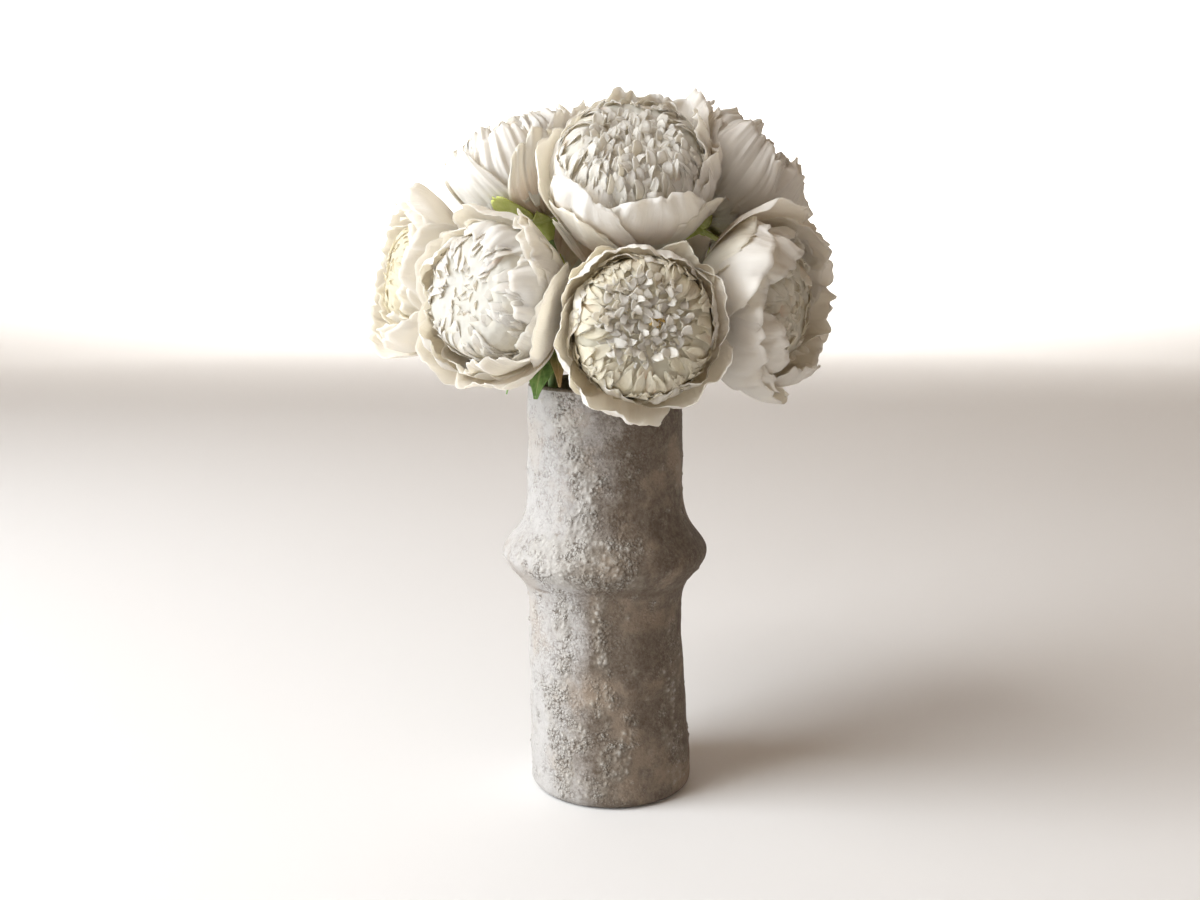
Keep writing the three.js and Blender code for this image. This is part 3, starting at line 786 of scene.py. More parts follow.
def small_petal(bloom, number, i):
    item = SMALL_ITEM + SMALL_ITEMS_PER_BLOOM * number + i
    size = bloom["size"]
    share = (i + 0.5) / bloom["crowd"]
    tip_polar = HEART_EDGE * share**0.55 + TIP_SCATTER * vary(item, 11)
    around = i * GOLDEN_ANGLE + TURN_SCATTER * vary(item, 12)
    length = grown(SMALL_LENGTH, share, vary(item, 14)) * size
    width = grown(SMALL_WIDTH, share, vary(item, 15)) * size * bloom["breadth"]
    twist = SMALL_TWIST * vary(item, 16) * (1.2 - 0.7 * share)
    lying = smoothstep(share, -0.05, 0.15)

    u, v = net(*SMALL_GRID)
    ragged = 1 - ROUNDED_TIP * v * v + RAGGED_TIP * u**2 * ripples(v, item, 1.6)
    spread = lying * length / (36 * size)
    polar = tip_polar * (0.55 + 0.45 * lying + 0.45 * (1 - lying) * u) + spread * (1 - u * ragged)
    relief = bloom["relief"]
    below_tip = np.maximum(1 - u * ragged, 0)
    sunk = 1 - (0.36 - 0.20 * lying) * relief * below_tip**1.2 + 0.014 * relief * vary(item, 13)
    spine = dome(bloom, polar, around + 0 * polar) * sunk[..., None]
    growth = np.gradient(spine, axis=0)
    growth /= np.linalg.norm(growth, axis=-1, keepdims=True)
    sideways = np.array([-math.sin(around), math.cos(around), 0.0])
    face = np.cross(sideways, growth)
    turned = (twist * (0.3 + 0.7 * u))[..., None]
    wide = sideways * np.cos(turned) + face * np.sin(turned)
    facing = face * np.cos(turned) - sideways * np.sin(turned)

    outline = np.sin(math.pi * (0.12 + 0.76 * u) ** 1.6) ** 0.45
    half = outline * width / 2
    curl = (0.7 + 1.0 * vary(item, 17)) * u**3 * size * relief
    cup = (v * half) ** 2 / (42 * size) * (1.2 * vary(item, 18) - 0.35)
    fold = (0.35 + 0.45 * share) * u * ripples(v * 0.8 + 0.5 * u, item, 1.3)
    fold = (fold + 0.25 * np.sin(6 * u + 3 * vary(item, 19))) * (0.4 + 0.6 * relief)
    local = spine + (v * half)[..., None] * wide + (curl + cup + fold * size)[..., None] * facing

    distance = np.hypot(local[..., 0], local[..., 1])
    angle = np.arctan2(local[..., 1], local[..., 0])
    grid = place(bloom, distance, angle, local[..., 2] + HEART_BASE * size)
    grid = pressed(grid, bloom, HEART_INSET)
    # Petal bases and the middle of the heart take the warmer cream: partly their own colour, partly painted
    # warm shade in the gaps.
    notes = together(0.3 + 0.7 * u, v, 0.22 - 0.2 * share + 0.9 * bloom["cream"])
    return grid, notes, u, item


print("small petals of the front bloom:", BLOOMS["front"]["crowd"])

# %% [markdown]
# ## Tufts and stamens
#
# Three blooms also have a tuft of narrow petals that stand up and curl over, and in two of them a few
# golden stamens show. Hair curves would be quicker to scatter, but each of these is a blade with a shape.
# A tuft lies across and up from the middle of the heart. swing is how wildly its petals turn, and sunk is
# how deep they are rooted.
# %% Tufts
TUFTS = {row["bloom"]: row for row in table(
    "bloom count across up radius length width swing sunk",
    ("front", 112, -3, 5, 27.0, 12.5, 2.6, 2.2, 7.0),
    ("top_front", 104, 0, -11, 31.0, 11.0, 2.7, 0.9, 6.6),
    ("back", 40, 4, -6, 15.0, 12.5, 2.8, 2.2, 7.0),
)}
TUFT_BEND = math.radians(150)
TUFT_GRID = (10, 6)
TUFT_THICKNESS = 0.3
TUFT_ITEM = 8000
WILD_SWING = 1.0
STAMENS = dict(count=22, radius=3.2, length=6.5, width=0.8, swing=1.5, sunk=3.5)
STAMEN_SHIFT = (8, -1)
STAMEN_THICKNESS = 0.6
STAMEN_ITEM = 8500


def tuft_petal(bloom, tuft, i, item):
    """A small petal that stands up from the heart and curls over. Stamens are very narrow ones."""
    far = tuft["radius"] * math.sqrt((i + 0.5) / tuft["count"])
    turn = i * GOLDEN_ANGLE
    across = tuft["across"] + far * math.cos(turn)
    up = tuft["up"] + far * math.sin(turn)
    outward = turn if tuft["swing"] > WILD_SWING else math.pi / 2
    heading = outward + tuft["swing"] * vary(item, 1)
    length = tuft["length"] * (1 + 0.25 * vary(item, 2))
    bend = (0.42 + 0.25 * vary(item, 3)) * TUFT_BEND
    u, v = net(*TUFT_GRID)
    radius = length / bend
    reach = u * (1 - 0.12 * v * v)
    forward = radius * (1 - np.cos(bend * reach)) - 0.3 * length
    rise = radius * np.sin(bend * reach)
    width = tuft["width"] * (1 + 0.35 * vary(item, 4))
    half = v * width * np.sin(math.pi * (0.15 + 0.72 * u)) ** 0.5
    forward = forward + 0.35 * tuft["width"] * ripples(v + 0.4 * u, item, 0.9) * u
    swing = heading + 0.9 * vary(item, 5) * u
    x = across + forward * np.cos(swing) - half * np.sin(swing)
    y = up + forward * np.sin(swing) + half * np.cos(swing)
    wide, high, square = bloom["heart"]
    edge = min(math.hypot(across, up) / (wide * bloom["size"]), 0.98)
    level = (HEART_BASE + high * (1 - edge**square) ** (1 / square)) * bloom["size"]
    level = level - tuft["sunk"] * (1 + 0.25 * vary(item, 6)) + rise + 0.05 * half**2
    return place(bloom, np.hypot(x, y), np.arctan2(y, x), level), together(0.35 + 0.65 * u, v, 0.25)


print("tufts:", list(TUFTS))

# %% [markdown]
# ## Build the blooms
#
# Each bloom is one piece, because its petals are joined at the base. In the real heart the petals are
# packed, and only their tips show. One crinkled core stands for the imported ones, and the small petals
# grow out of it. The piece replaces the plain solid of its bloom.
# %% Blooms
CORE_DEPTH = 0.13
CORE_INSET = 6.0
CORE_SIDES = 160
CORE_ROWS = 64
CORE_TOP = 0.03
CORE_FOOT = np.array([(0.8, 9.0), (0.5, 3.0), (0.1, 0.4)])
FINER_NET = 1.7
SMALL_THINNESS = 0.8


def thinning(u):
    """Petal thickness from the claw to the rim."""
    return PETAL_MIDDLE_THICKNESS + (PETAL_RIM_THICKNESS - PETAL_MIDDLE_THICKNESS) * smoothstep(u, 0.3, 1.0)


def core_rings(bloom):
    """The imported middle, from its top over its shoulders and down to the base."""
    around = circle(CORE_SIDES)[None, :]
    polar = np.linspace(CORE_TOP, math.pi / 2, CORE_ROWS)[:, None] + 0 * around
    top = dome(bloom, polar, around + 0 * polar) * (1 - CORE_DEPTH * bloom["relief"])
    ridges = 1 - 2 * np.abs(lumps(top, 5.0, 64, 2))
    top = top * (1 + (0.035 * lumps(top, 7.0, 60) + 0.03 * ridges) * bloom["relief"])[..., None]
    distance = np.hypot(top[..., 0], top[..., 1])
    height = top[..., 2] + HEART_BASE * bloom["size"]
    distance = np.concatenate([distance, CORE_FOOT[:, :1] * distance[-1:]])
    height = np.concatenate([height, CORE_FOOT[:, 1:] + 0 * around])
    return pressed(place(bloom, distance, around + 0 * distance, height), bloom, CORE_INSET)


def add_tuft(blades, bloom, number, tuft):
    for i in range(tuft["count"]):
        grid, notes = tuft_petal(bloom, tuft, i, TUFT_ITEM + ITEMS_PER_BLOOM * number + i)
        blades.blade(grid, notes, TUFT_THICKNESS, 0.3)
    if tuft["swing"] > WILD_SWING:
        across, up = STAMEN_SHIFT
        stamens = dict(STAMENS, across=tuft["across"] + across, up=tuft["up"] + up)
        for i in range(stamens["count"]):
            grid, notes = tuft_petal(bloom, stamens, i, STAMEN_ITEM + ITEMS_PER_BLOOM * number + i)
            blades.blade(grid, notes, STAMEN_THICKNESS, 0.5, 1)


def build_bloom(name, number):
    bloom = BLOOMS[name]
    blades = Blades()
    for layer in LAYERS[: bloom["rows"]] + [COVER] * bloom["cover"]:
        for petal in petals_of(bloom, number, layer):
            rows, columns = layer["grid"]
            columns = round(columns * FINER_NET) if bloom["pleat"] > 1 else columns
            grid, notes, u = broad_petal(bloom, petal, rows, columns)
            chance = 0.5 + 0.5 * vary(petal["item"], 6)
            blades.blade(grid, notes, thinning(u), chance)
    loose = list(loose_blades(LOOSE_PETAL, LOOSE_PETALS, name, bloom))
    for grid, notes, u, chance in loose + list(loose_blades(BUD_PETAL, BUD_PETALS, name, bud)):
        blades.blade(grid, notes, thinning(u), chance)
    for i in range(bloom["crowd"]):
        grid, notes, u, item = small_petal(bloom, number, i)
        blades.blade(grid, notes, SMALL_THINNESS * thinning(u), 0.5 + 0.5 * vary(item, 6))
    if name in TUFTS:
        add_tuft(blades, bloom, number, TUFTS[name])
    # The core shows only in the gaps, and its deep cream is partly painted warm shade.
    blades.tube(core_rings(bloom), (0.5, 0.0, 0.3 + 0.6 * bloom["cream"]))
    piece = blades.build("bloom_" + name, [PETAL_SILK, STAMEN_GOLD])
    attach(piece, "root")
    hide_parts("peony_" + name)
    return piece


for number, name in enumerate(BLOOMS):
    piece = build_bloom(name, number)
    print(piece.name, len(piece.data.polygons), "faces")

# %% [markdown]
# ## Greens
#
# Three greens meet here. Stems are dull and a little bloomy, sepals are a fresh yellow-green, and leaves
# are darker, with a paler rib and side veins. Leaves let some light through, so they are mixed like the
# petals.
# %% Green materials
VEIN_GREEN = colour(0.52, 0.60, 0.26)
BRACT_PINK = colour(0.80, 0.30, 0.22)
GREEN_GLOW = colour(0.42, 0.52, 0.10)
SIDE_VEINS = 34.0
VEIN_SLANT = 12.0


def green_material(name, dark, pale, veins, through):
    surface = Surface(name)
    along, across, pink, chance = surface.notes()
    mottle = surface.noise(surface.spot(), 220.0, 4.0)
    side = surface.math("ABSOLUTE", across)
    ribbed = surface.math("SINE", along * SIDE_VEINS - side * VEIN_SLANT)
    vein = ribbed.between(0.86, 1.0) * 0.5
    rib = 1 - side.between(0.02, 0.14)
    lines = surface.math("MAXIMUM", vein, rib)
    green = surface.blend(mottle.between(0.3, 0.7), dark, pale)
    green = surface.blend(chance * 0.35, green, pale)
    green = surface.blend(lines * veins, green, VEIN_GREEN)
    green = surface.blend(pink, green, BRACT_PINK)
    more = {"Normal": surface.bump(mottle * 0.4 - lines * 0.6, 0.4, 0.4), "Specular IOR Level": 0.35}
    body = surface.body(green, mottle * 0.2 + 0.42, more)
    return surface.finish(surface.lit_through(through, body, GREEN_GLOW))


STEM_GREEN = green_material("stem green", colour(0.13, 0.20, 0.07), colour(0.24, 0.32, 0.12), 0.0, 0.0)
SEPAL_GREEN = green_material("sepal green", colour(0.48, 0.56, 0.09), colour(0.70, 0.74, 0.26), 0.15, 0.2)
LEAF_GREEN = green_material("leaf green", colour(0.08, 0.19, 0.045), colour(0.26, 0.44, 0.13), 0.7, 0.2)
print("made three greens")

# %% [markdown]
# ## Stems, sepals and leaves
#
# A stem runs straight from its cut end on the floor of the vase to the mouth, and from there it bends to
# its bloom. Ten or so stems have to share a narrow mouth, so they lean across each other in a spiral, the
# way that florists tie a bunch. The bend is a Bezier curve. Under each bloom the stem widens into a cup
# with five sepals that lie along the outer petals. A few leaves hang over the rim of the vase.
# %% Stem curves
VASE_HEIGHT = 272.0
VASE_FLOOR = 8.0
MOUTH_X = -4.2
MOUTH_HEIGHT = VASE_HEIGHT - 2.0
STEM_RADIUS = 2.6
STEM_CLEARANCE = 0.9
STEM_TWIST = 62.0
STEM_BOW = 0.45
CALYX_DEPTH = 13.0
OUTER_TIER = (38.0, 31.0)
INNER_TIER = (16.0, 12.0)
STEM_BEARINGS = dict(front=292, front_left=207, left=156, right=355, top_front=290, top_left=161,
                     top_right=19, top_back=82, back_left=117, back=68, back_right=29)


def bezier(corners, t):
    """Points on a curve of any degree, by joining halfway points again and again."""
    corners = [np.asarray(c, float) + 0 * t[:, None] for c in corners]
    while len(corners) > 1:
        corners = [a + (b - a) * t[:, None] for a, b in zip(corners, corners[1:])]
    return corners[0]


def on_circle(radius, bearing, height, middle_x):
    turn = math.radians(bearing)
    return np.array([middle_x + radius * math.cos(turn), radius * math.sin(turn), height])


def neck_corners(name):
    """The cut end of a stem, and the four corners of its curve from the mouth to its bloom."""
    bloom = BLOOMS[name]
    mouth_radius, floor_radius = INNER_TIER if name.startswith("top") else OUTER_TIER
    bearing = STEM_BEARINGS[name]
    cut = on_circle(floor_radius, bearing - STEM_TWIST, VASE_FLOOR + STEM_CLEARANCE, 0)
    mouth = on_circle(mouth_radius, bearing, MOUTH_HEIGHT, MOUTH_X)
    end = bloom["base"] + bloom["axis"] * (PETAL_ROOT_HEIGHT - CALYX_DEPTH)
    along = unit(mouth - cut)
    handle = STEM_BOW * np.linalg.norm(end - mouth)
    return cut, [mouth, mouth + along * handle, end - bloom["axis"] * handle, end]


def sweep(centres, radii, sides):
    """Rings of points round a line of centres."""
    heading = np.gradient(centres, axis=0)
    heading /= np.linalg.norm(heading, axis=1, keepdims=True)
    first = np.cross(heading, (0.3, 0.9, 0.1))
    first /= np.linalg.norm(first, axis=1, keepdims=True)
    second = np.cross(heading, first)
    around = circle(sides)
    ring = np.cos(around)[None, :, None] * first[:, None] + np.sin(around)[None, :, None] * second[:, None]
    return centres[:, None] + ring * np.asarray(radii)[:, None, None]


print("stems:", len(STEM_BEARINGS))

# %% [markdown]
# ## Leaves
#
# Each leaf hangs from a point of its stem: at is the share of the way along the neck. Then come the
# bearing and the radius of its tip about the mouth, the height of the tip and the width of the leaf. tint
# is how pink the tip is, since the small bracts under the front blooms have a salmon flush. The blade
# folds along its rib, and its edge waves a little.
# %% Leaf table
LEAVES = table(
    "stem at bearing radius height width tint",
    ("front_left", 0.2, 226, 62, 266, 26, 0.0),
    ("front_left", 0.26, 240, 56, 274, 14, 0.5),
    ("front", 0.22, 266, 61, 263, 16, 0.9),
    ("left", 0.2, 170, 66, 262, 22, 0.0),
    ("back_left", 0.2, 128, 64, 263, 22, 0.0),
    ("back", 0.2, 82, 64, 262, 22, 0.2),
    ("back_right", 0.2, 38, 64, 263, 22, 0.0),
    ("right", 0.22, 338, 62, 266, 18, 0.0),
)
LEAF_FOLD = 2.2
LEAF_ARCH = 14.0
LEAF_THICKNESS = 0.45
LEAF_GRID = (26, 15)
LEAF_OUTLINE = ([0, 0.12, 0.33, 0.5, 0.66, 0.85, 1], [0.12, 0.5, 0.95, 1, 0.8, 0.42, 0.05])


def leaf_grid(leaf, neck, item):
    u, v = net(*LEAF_GRID)
    root = bezier(neck, np.array([leaf["at"]]))[0]
    tip = on_circle(leaf["radius"], leaf["bearing"], leaf["height"], MOUTH_X)
    over = root + (tip - root) * 0.6
    over[2] = root[2] + LEAF_ARCH
    rib = bezier([root, over, tip], u[:, 0])
    across = unit([root[1] - tip[1], tip[0] - root[0], 0])
    outline = np.interp(u[:, 0], *LEAF_OUTLINE)
    outline = np.convolve(np.pad(outline, 2, mode="edge"), np.ones(5) / 5, mode="valid")[:, None]
    half = outline * leaf["width"] / 2
    grid = rib[:, None] + (half * v)[..., None] * across
    vein = 0.12 * np.sin(SIDE_VEINS * u - VEIN_SLANT * np.abs(v))
    edge = 0.8 * v**2 * np.sin(9 * u + 2 * vary(item, 3))
    grid[..., 2] += np.abs(v) * outline * LEAF_FOLD + (vein + edge) * outline
    return grid, together(u, v, leaf["tint"] * smoothstep(u, 0.35, 0.95))


print("leaves:", len(LEAVES))

# %% [markdown]
# ## Build the greens
#
# One piece for each stem, with its cup, sepals and leaves, since they are all one growth. The cup is a
# small solid of revolution. The sepals are blades whose underside follows the petals above them.
# %% Stem pieces
SEPALS = 5
SEPAL_LENGTH = 27.0
SEPAL_WIDTH = 13.0
SEPAL_ROOT = 5
SEPAL_CLAW_RADIUS = 8
SEPAL_THICKNESS = 0.5
SEPAL_GRID = (14, 9)
STEM_SIDES = 12
STRAIGHT_RINGS = 12
NECK_RINGS = 22
ITEMS_PER_STEM = 50
CUP_SIDES = 24
CUP_PROFILE = np.array([(-13.6, 2.4), (-13, 3.2), (-9, 5.2), (-5, 7.2), (-2.6, 8.6), (-1.3, 8.8),
                        (-0.6, 7.5), (-0.4, 3.0)])
SKIN_NOTE = (0.0, 1.0, 0.0)


def cup_rings(bloom):
    heights, radii = CUP_PROFILE[:, :1], CUP_PROFILE[:, 1:]
    around = circle(CUP_SIDES)[None, :]
    return place(bloom, radii + 0 * around, around + 0 * radii, heights)


def sepal_grid(bloom, i, item):
    """A sepal that hugs the outer petals from below."""
    u, v = net(*SEPAL_GRID)
    size = bloom["size"]
    long = 1 + 0.22 * vary(item, 1) + (0.25 if i % 3 == 0 else 0)
    distance = SEPAL_ROOT + (SEPAL_LENGTH * size * long - SEPAL_ROOT) * u * (1 - 0.05 * v * v)
    height = -2.2 + 0.6 * u + 4.2 * u**2.2 * long - 0.5 * (1 - v * v) * (1 - u)
    height = height - 0.5 * u * np.sin(3 * v + item)
    outline = np.sin(math.pi * (0.2 + 0.8 * u) ** 0.9) ** 0.75
    half = SEPAL_WIDTH / 2 * size * outline + 0.05
    angle = math.radians(bloom["turn"]) + 2 * math.pi * i / SEPALS
    angle = angle + v * half / np.maximum(distance, SEPAL_CLAW_RADIUS)
    return place(bloom, distance + 0 * v, angle, height), together(u, v, 0.12 * u)


def build_stem(name, number):
    bloom = BLOOMS[name]
    cut, neck = neck_corners(name)
    blades = Blades()
    straight = cut + (neck[0] - cut) * np.linspace(0, 0.985, STRAIGHT_RINGS)[:, None]
    centres = np.concatenate([straight, bezier(neck, np.linspace(0, 1, NECK_RINGS))])
    blades.tube(sweep(centres, np.full(len(centres), STEM_RADIUS), STEM_SIDES), SKIN_NOTE, 0.5, 0)
    blades.tube(cup_rings(bloom), SKIN_NOTE, 0.8, 1)
    for i in range(SEPALS):
        item = ITEMS_PER_STEM * number + i
        grid, notes = sepal_grid(bloom, i, item)
        blades.blade(grid, notes, SEPAL_THICKNESS, 0.5 + 0.5 * vary(item, 4), 1)
    for grid, notes, u, chance in loose_blades(BRACT, BRACTS, name, bloom):
        blades.blade(grid, notes, SEPAL_THICKNESS, chance, 1)
    for k, leaf in enumerate(LEAVES):
        if leaf["stem"] == name:
            grid, notes = leaf_grid(leaf, neck, k)
            blades.blade(grid, notes, LEAF_THICKNESS, 0.5 + 0.5 * vary(k, 4), 2)
    piece = blades.build("greens_" + name, [STEM_GREEN, SEPAL_GREEN, LEAF_GREEN])
    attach(piece, "root")
    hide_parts("stem_" + name)
    return piece


for number, name in enumerate(BLOOMS):
    piece = build_stem(name, number)
    print(piece.name, len(piece.data.polygons), "faces")

# %% [markdown]
# ## The wall of the vase
#
# The body is a leaning tube with one raised joint and a rounded foot. A lathe would make it perfectly
# even, so the wall also swells and sinks slowly, as a hand-built pot does. These are the same numbers as
# in the solid.
# %% Vase profile
BODY_PROFILE = ((0, 126, 165, 272), (54.2, 50.3, 51.2, 50))
VASE_WALL = 6.0
FOOT_ROUNDING = 6.0
LIP_ROUNDING = 2.0
RING_HEIGHT = 160.5
RING_RISE = 16.0
RING_RISE_INSIDE = 9.0
RING_SPREAD = 17.0
LEAN = -4.2
LEAN_TOP = 130.0
SWELL = 0.9
VASE_COLUMNS = 300
VASE_ROWS = 300
DENSE_BEARING = math.radians(248)
DENSER = 0.45
INSIDE_LEVELS = (270, 250, 225, 200, 185, 175, 168, 160.5, 153, 145, 135, 110, 70, 30, 14, 9.5, 8)


def body_radius(height):
    return np.interp(height, *BODY_PROFILE)


def ring_rise(height, rise):
    return rise * np.exp(-(((height - RING_HEIGHT) / RING_SPREAD) ** 2))


def outside_radius(height):
    up = np.maximum(0, FOOT_ROUNDING - height)
    rounding = FOOT_ROUNDING - np.sqrt(FOOT_ROUNDING**2 - up**2)
    return body_radius(height) + ring_rise(height, RING_RISE) - rounding


def swell(angle, height):
    slow = 0.5 * np.sin(3 * angle + 0.045 * height) * np.sin(0.07 * height + 1.3)
    return slow + 0.5 * np.sin(7 * angle - 0.11 * height) * np.cos(5 * angle + 0.083 * height)


print("widest radius in mm:", outside_radius(np.linspace(0, 272, 300)).max().round(1))

# %% [markdown]
# ## Lime, grit and pebbles
#
# The crust is lime slip with coarse grit thrown into it, which ran down the pot in bands. Bump mapping
# alone would leave the outline smooth and the grit without shadows, so grains down to two millimetres are
# geometry. Each band is a line down the pot that grit scatters round, and each cluster is a patch of
# grains. The sizes are millimetres, bearings are degrees round the pot, with 270 at the front.
# %% Grit table
GRIT_BANDS = table(
    "heights bearings spread grains",
    ((268, 240, 205, 178, 160), (236, 244, 256, 254, 256), 7.0, 420),
    ((178, 168, 158, 150), (256, 252, 254, 262), 26.0, 620),
    ((140, 110, 70), (238, 240, 236), 3.4, 110),
    ((145, 120, 92), (267, 266, 270), 3.0, 100),
    ((80, 40, 6), (226, 232, 236), 9.0, 170),
    ((265, 215, 165), (30, 44, 38), 10.0, 300),
    ((172, 160, 150), (60, 52, 58), 24.0, 360),
    ((140, 80, 10), (112, 104, 108), 8.0, 220),
    ((120, 60, 10), (330, 322, 326), 10.0, 90),
    ((255, 200, 165), (150, 158, 152), 9.0, 210),
)
CLUSTERS = table(
    "bearing height size grains",
    (266, 74, 8.0, 26),
    (247, 47, 7.5, 30),
    (273, 33, 10.0, 55),
    (284, 48, 5.5, 14),
    (259, 15, 7.5, 28),
    (236, 120, 7.0, 20),
    (262, 212, 6.0, 12),
    (20, 60, 10.0, 50),
    (80, 210, 8.0, 30),
)
SCATTERED_GRAINS = 220
BAND_RADIUS = 50
CLUSTER_RADIUS = 52
CLUSTER_LENGTH = 1.3
BAND_ITEM = 3000
ITEMS_PER_BAND = 700
CLUSTER_ITEM = 11000
ITEMS_PER_CLUSTER = 100
SCATTER_ITEM = 14000


def grain_list():
    """Bearing in radians, height in mm and item of every grain."""
    grains = []
    for b, band in enumerate(GRIT_BANDS):
        order = np.argsort(band["heights"])
        heights = np.array(band["heights"], float)[order]
        bearings = np.array(band["bearings"], float)[order]
        for i in range(band["grains"]):
            item = BAND_ITEM + ITEMS_PER_BAND * b + i
            height = heights[0] + (heights[-1] - heights[0]) * (0.5 + 0.5 * vary(item, 1))
            off = (vary(item, 2) + vary(item, 3) + vary(item, 4)) / 2 * band["spread"] / BAND_RADIUS
            grains.append((math.radians(np.interp(height, heights, bearings)) + off, height, item))
    for c, cluster in enumerate(CLUSTERS):
        for i in range(cluster["grains"]):
            item = CLUSTER_ITEM + ITEMS_PER_CLUSTER * c + i
            turn = math.pi * vary(item, 1)
            far = cluster["size"] * math.sqrt(0.5 + 0.5 * vary(item, 2))
            bearing = math.radians(cluster["bearing"]) + far * math.cos(turn) / CLUSTER_RADIUS
            height = cluster["height"] + CLUSTER_LENGTH * far * math.sin(turn)
            grains.append((bearing, height, item))
    for i in range(SCATTERED_GRAINS):
        item = SCATTER_ITEM + i
        grains.append((math.pi * (1 + vary(item, 1)), 136 + 128 * vary(item, 2), item))
    return grains


GRAINS = grain_list()
print("grains:", len(GRAINS))

# %% [markdown]
# ## The crust
#
# Soft lumps, lime plates, a crease and every grain add up to one rise at each point of the wall. Three
# numbers go with it for the glaze: how gritty, how limy, and how high the point stands over its
# surroundings. The lime is centred on the side that faces the window and grows toward the top, so it is
# partly real slip and partly painted light. The foot and the lip stay smooth.
# %% Crust
GRAIN_REACH = 3.2
# The bearing of the window light, where the lime slip is laid thickest: partly real slip, partly painted
# light.
LIME_AND_LIGHT_BEARING = math.radians(195)
CREASE_HEIGHT = 143
CREASE_WIDTH = 1.6
CREASE_DEPTH = 0.7


def grain_size(item):
    """Radius and rise of one grain in mm."""
    size = 0.85 + 0.9 * vary(item, 5) ** 4 + 0.2 * vary(item, 7)
    return size, size * (0.5 + 0.25 * vary(item, 6))


def crust(angle, height):
    """Rise of the crust in mm on a grid, with its grit mask, and a lime mask that is partly painted light.
    """
    radius = outside_radius(height)
    points = together(radius * np.cos(angle), radius * np.sin(angle), height)
    coarse = lumps(points, 14.0, 1)
    medium = lumps(points, 5.0, 5)
    fine = lumps(points, 2.2, 9, 2)
    grains = np.zeros(angle.shape)
    grit = np.zeros(angle.shape)
    for bearing, level, item in GRAINS:
        size, rise = grain_size(item)
        rows = np.abs(height[:, 0] - level) < GRAIN_REACH * size
        if not rows.any():
            continue
        turn = (angle[rows] - bearing + math.pi) % (2 * math.pi) - math.pi
        span = (turn * radius[rows]) ** 2 + (height[rows] - level) ** 2
        span = span * (1 + 0.8 * fine[rows])
        bump = rise * np.sqrt(np.maximum(0, 1 - span / size**2))
        grains[rows] = np.maximum(grains[rows], bump)
        grit[rows] = np.maximum(grit[rows], np.exp(-span / (2.6 * size) ** 2))
    # Lime streaks centred on the lit side and growing toward the top: partly real slip, partly painted
    # light there and painted shade low on the wall.
    streaks = 0.5 * lumps(points * (1, 1, 0.45), 26.0, 13) + 0.9 * np.cos(angle - LIME_AND_LIGHT_BEARING)
    streaks = streaks + 0.12 * (height - 150) / 120
    lime_and_light = smoothstep(streaks, -0.2, 0.9)
    plates = smoothstep(lumps(points * (1, 1, 0.7), 9.0, 17), 0.12, 0.2) * smoothstep(coarse, -0.1, 0.3)
    rise = 0.2 * coarse + 0.14 * medium + 0.12 * fine + 0.2 * plates * lime_and_light
    rise = rise + grit * (0.3 + 0.5 * medium + 0.45 * fine) + grains
    crease = np.exp(-(((height - CREASE_HEIGHT - 1.5 * np.sin(3 * angle)) / CREASE_WIDTH) ** 2))
    rise = rise - CREASE_DEPTH * crease * smoothstep(lumps(points, 20.0, 21), -0.2, 0.3)
    still = smoothstep(height, 0.5, 5.0) * (1 - smoothstep(height, VASE_HEIGHT - 4, VASE_HEIGHT - 1))
    return rise * still, together(grit, lime_and_light, 0.5 + 0.35 * rise)


print("highest grain of all in mm:", round(max(grain_size(item)[1] for _, _, item in GRAINS), 2))

# %% [markdown]
# ## Build the vase
#
# The outside is a fine net of points, pushed out by the slow swell of the wall and by the crust. The net
# is denser at the front left, where most of the grit is. It is closed over the lip, down the inside and
# across the floor of the vase, so the piece has a real wall.
# %% Vase mesh
CORNER_HEIGHT = 14


def build_vase():
    around = circle(VASE_COLUMNS)[None, :]
    around = around - DENSER * np.sin(around - DENSE_BEARING)
    foot = FOOT_ROUNDING * (1 - np.cos(np.linspace(0, math.pi / 2, 7)))
    wall = np.linspace(FOOT_ROUNDING, VASE_HEIGHT - LIP_ROUNDING, VASE_ROWS)[1:]
    height = np.concatenate([foot, wall])[:, None]
    angle = around + 0 * height
    rise, notes = crust(angle, height + 0 * angle)
    outside = outside_radius(height) + SWELL * swell(angle, height) * smoothstep(height, 0.5, 7) + rise
    rounding = np.linspace(0, math.pi, 10)[1:-1, None]
    lip_outside = outside[-1:] - LIP_ROUNDING
    inner_mouth = body_radius(VASE_HEIGHT) - VASE_WALL
    lip_mix = (1 - np.cos(rounding)) / 2
    lip = (lip_outside + LIP_ROUNDING) * (1 - lip_mix) + inner_mouth * lip_mix
    lip_height = VASE_HEIGHT - LIP_ROUNDING + LIP_ROUNDING * np.sin(rounding) + 0 * lip
    down = np.array(INSIDE_LEVELS)[:, None]
    corner = np.maximum(0, CORNER_HEIGHT - down)
    inside = body_radius(down) - VASE_WALL + ring_rise(down, RING_RISE_INSIDE) - corner**2 / 6 + 0 * around
    radius = np.concatenate([outside, lip, inside])
    heights = np.concatenate([height + 0 * around, lip_height, down + 0 * around])
    lean = LEAN * smoothstep(heights, 0, LEAN_TOP)
    rings = together(lean + radius * np.cos(around), radius * np.sin(around), heights)
    plain = np.zeros((len(rings) - len(notes), VASE_COLUMNS, 3)) + (0.1, 0.2, 0.5)
    blades = Blades()
    blades.tube(rings, np.concatenate([notes, plain]).reshape(-1, 3))
    return blades.build("vase_crust", [STONEWARE])


print("rings of the outside:", VASE_ROWS + 6)

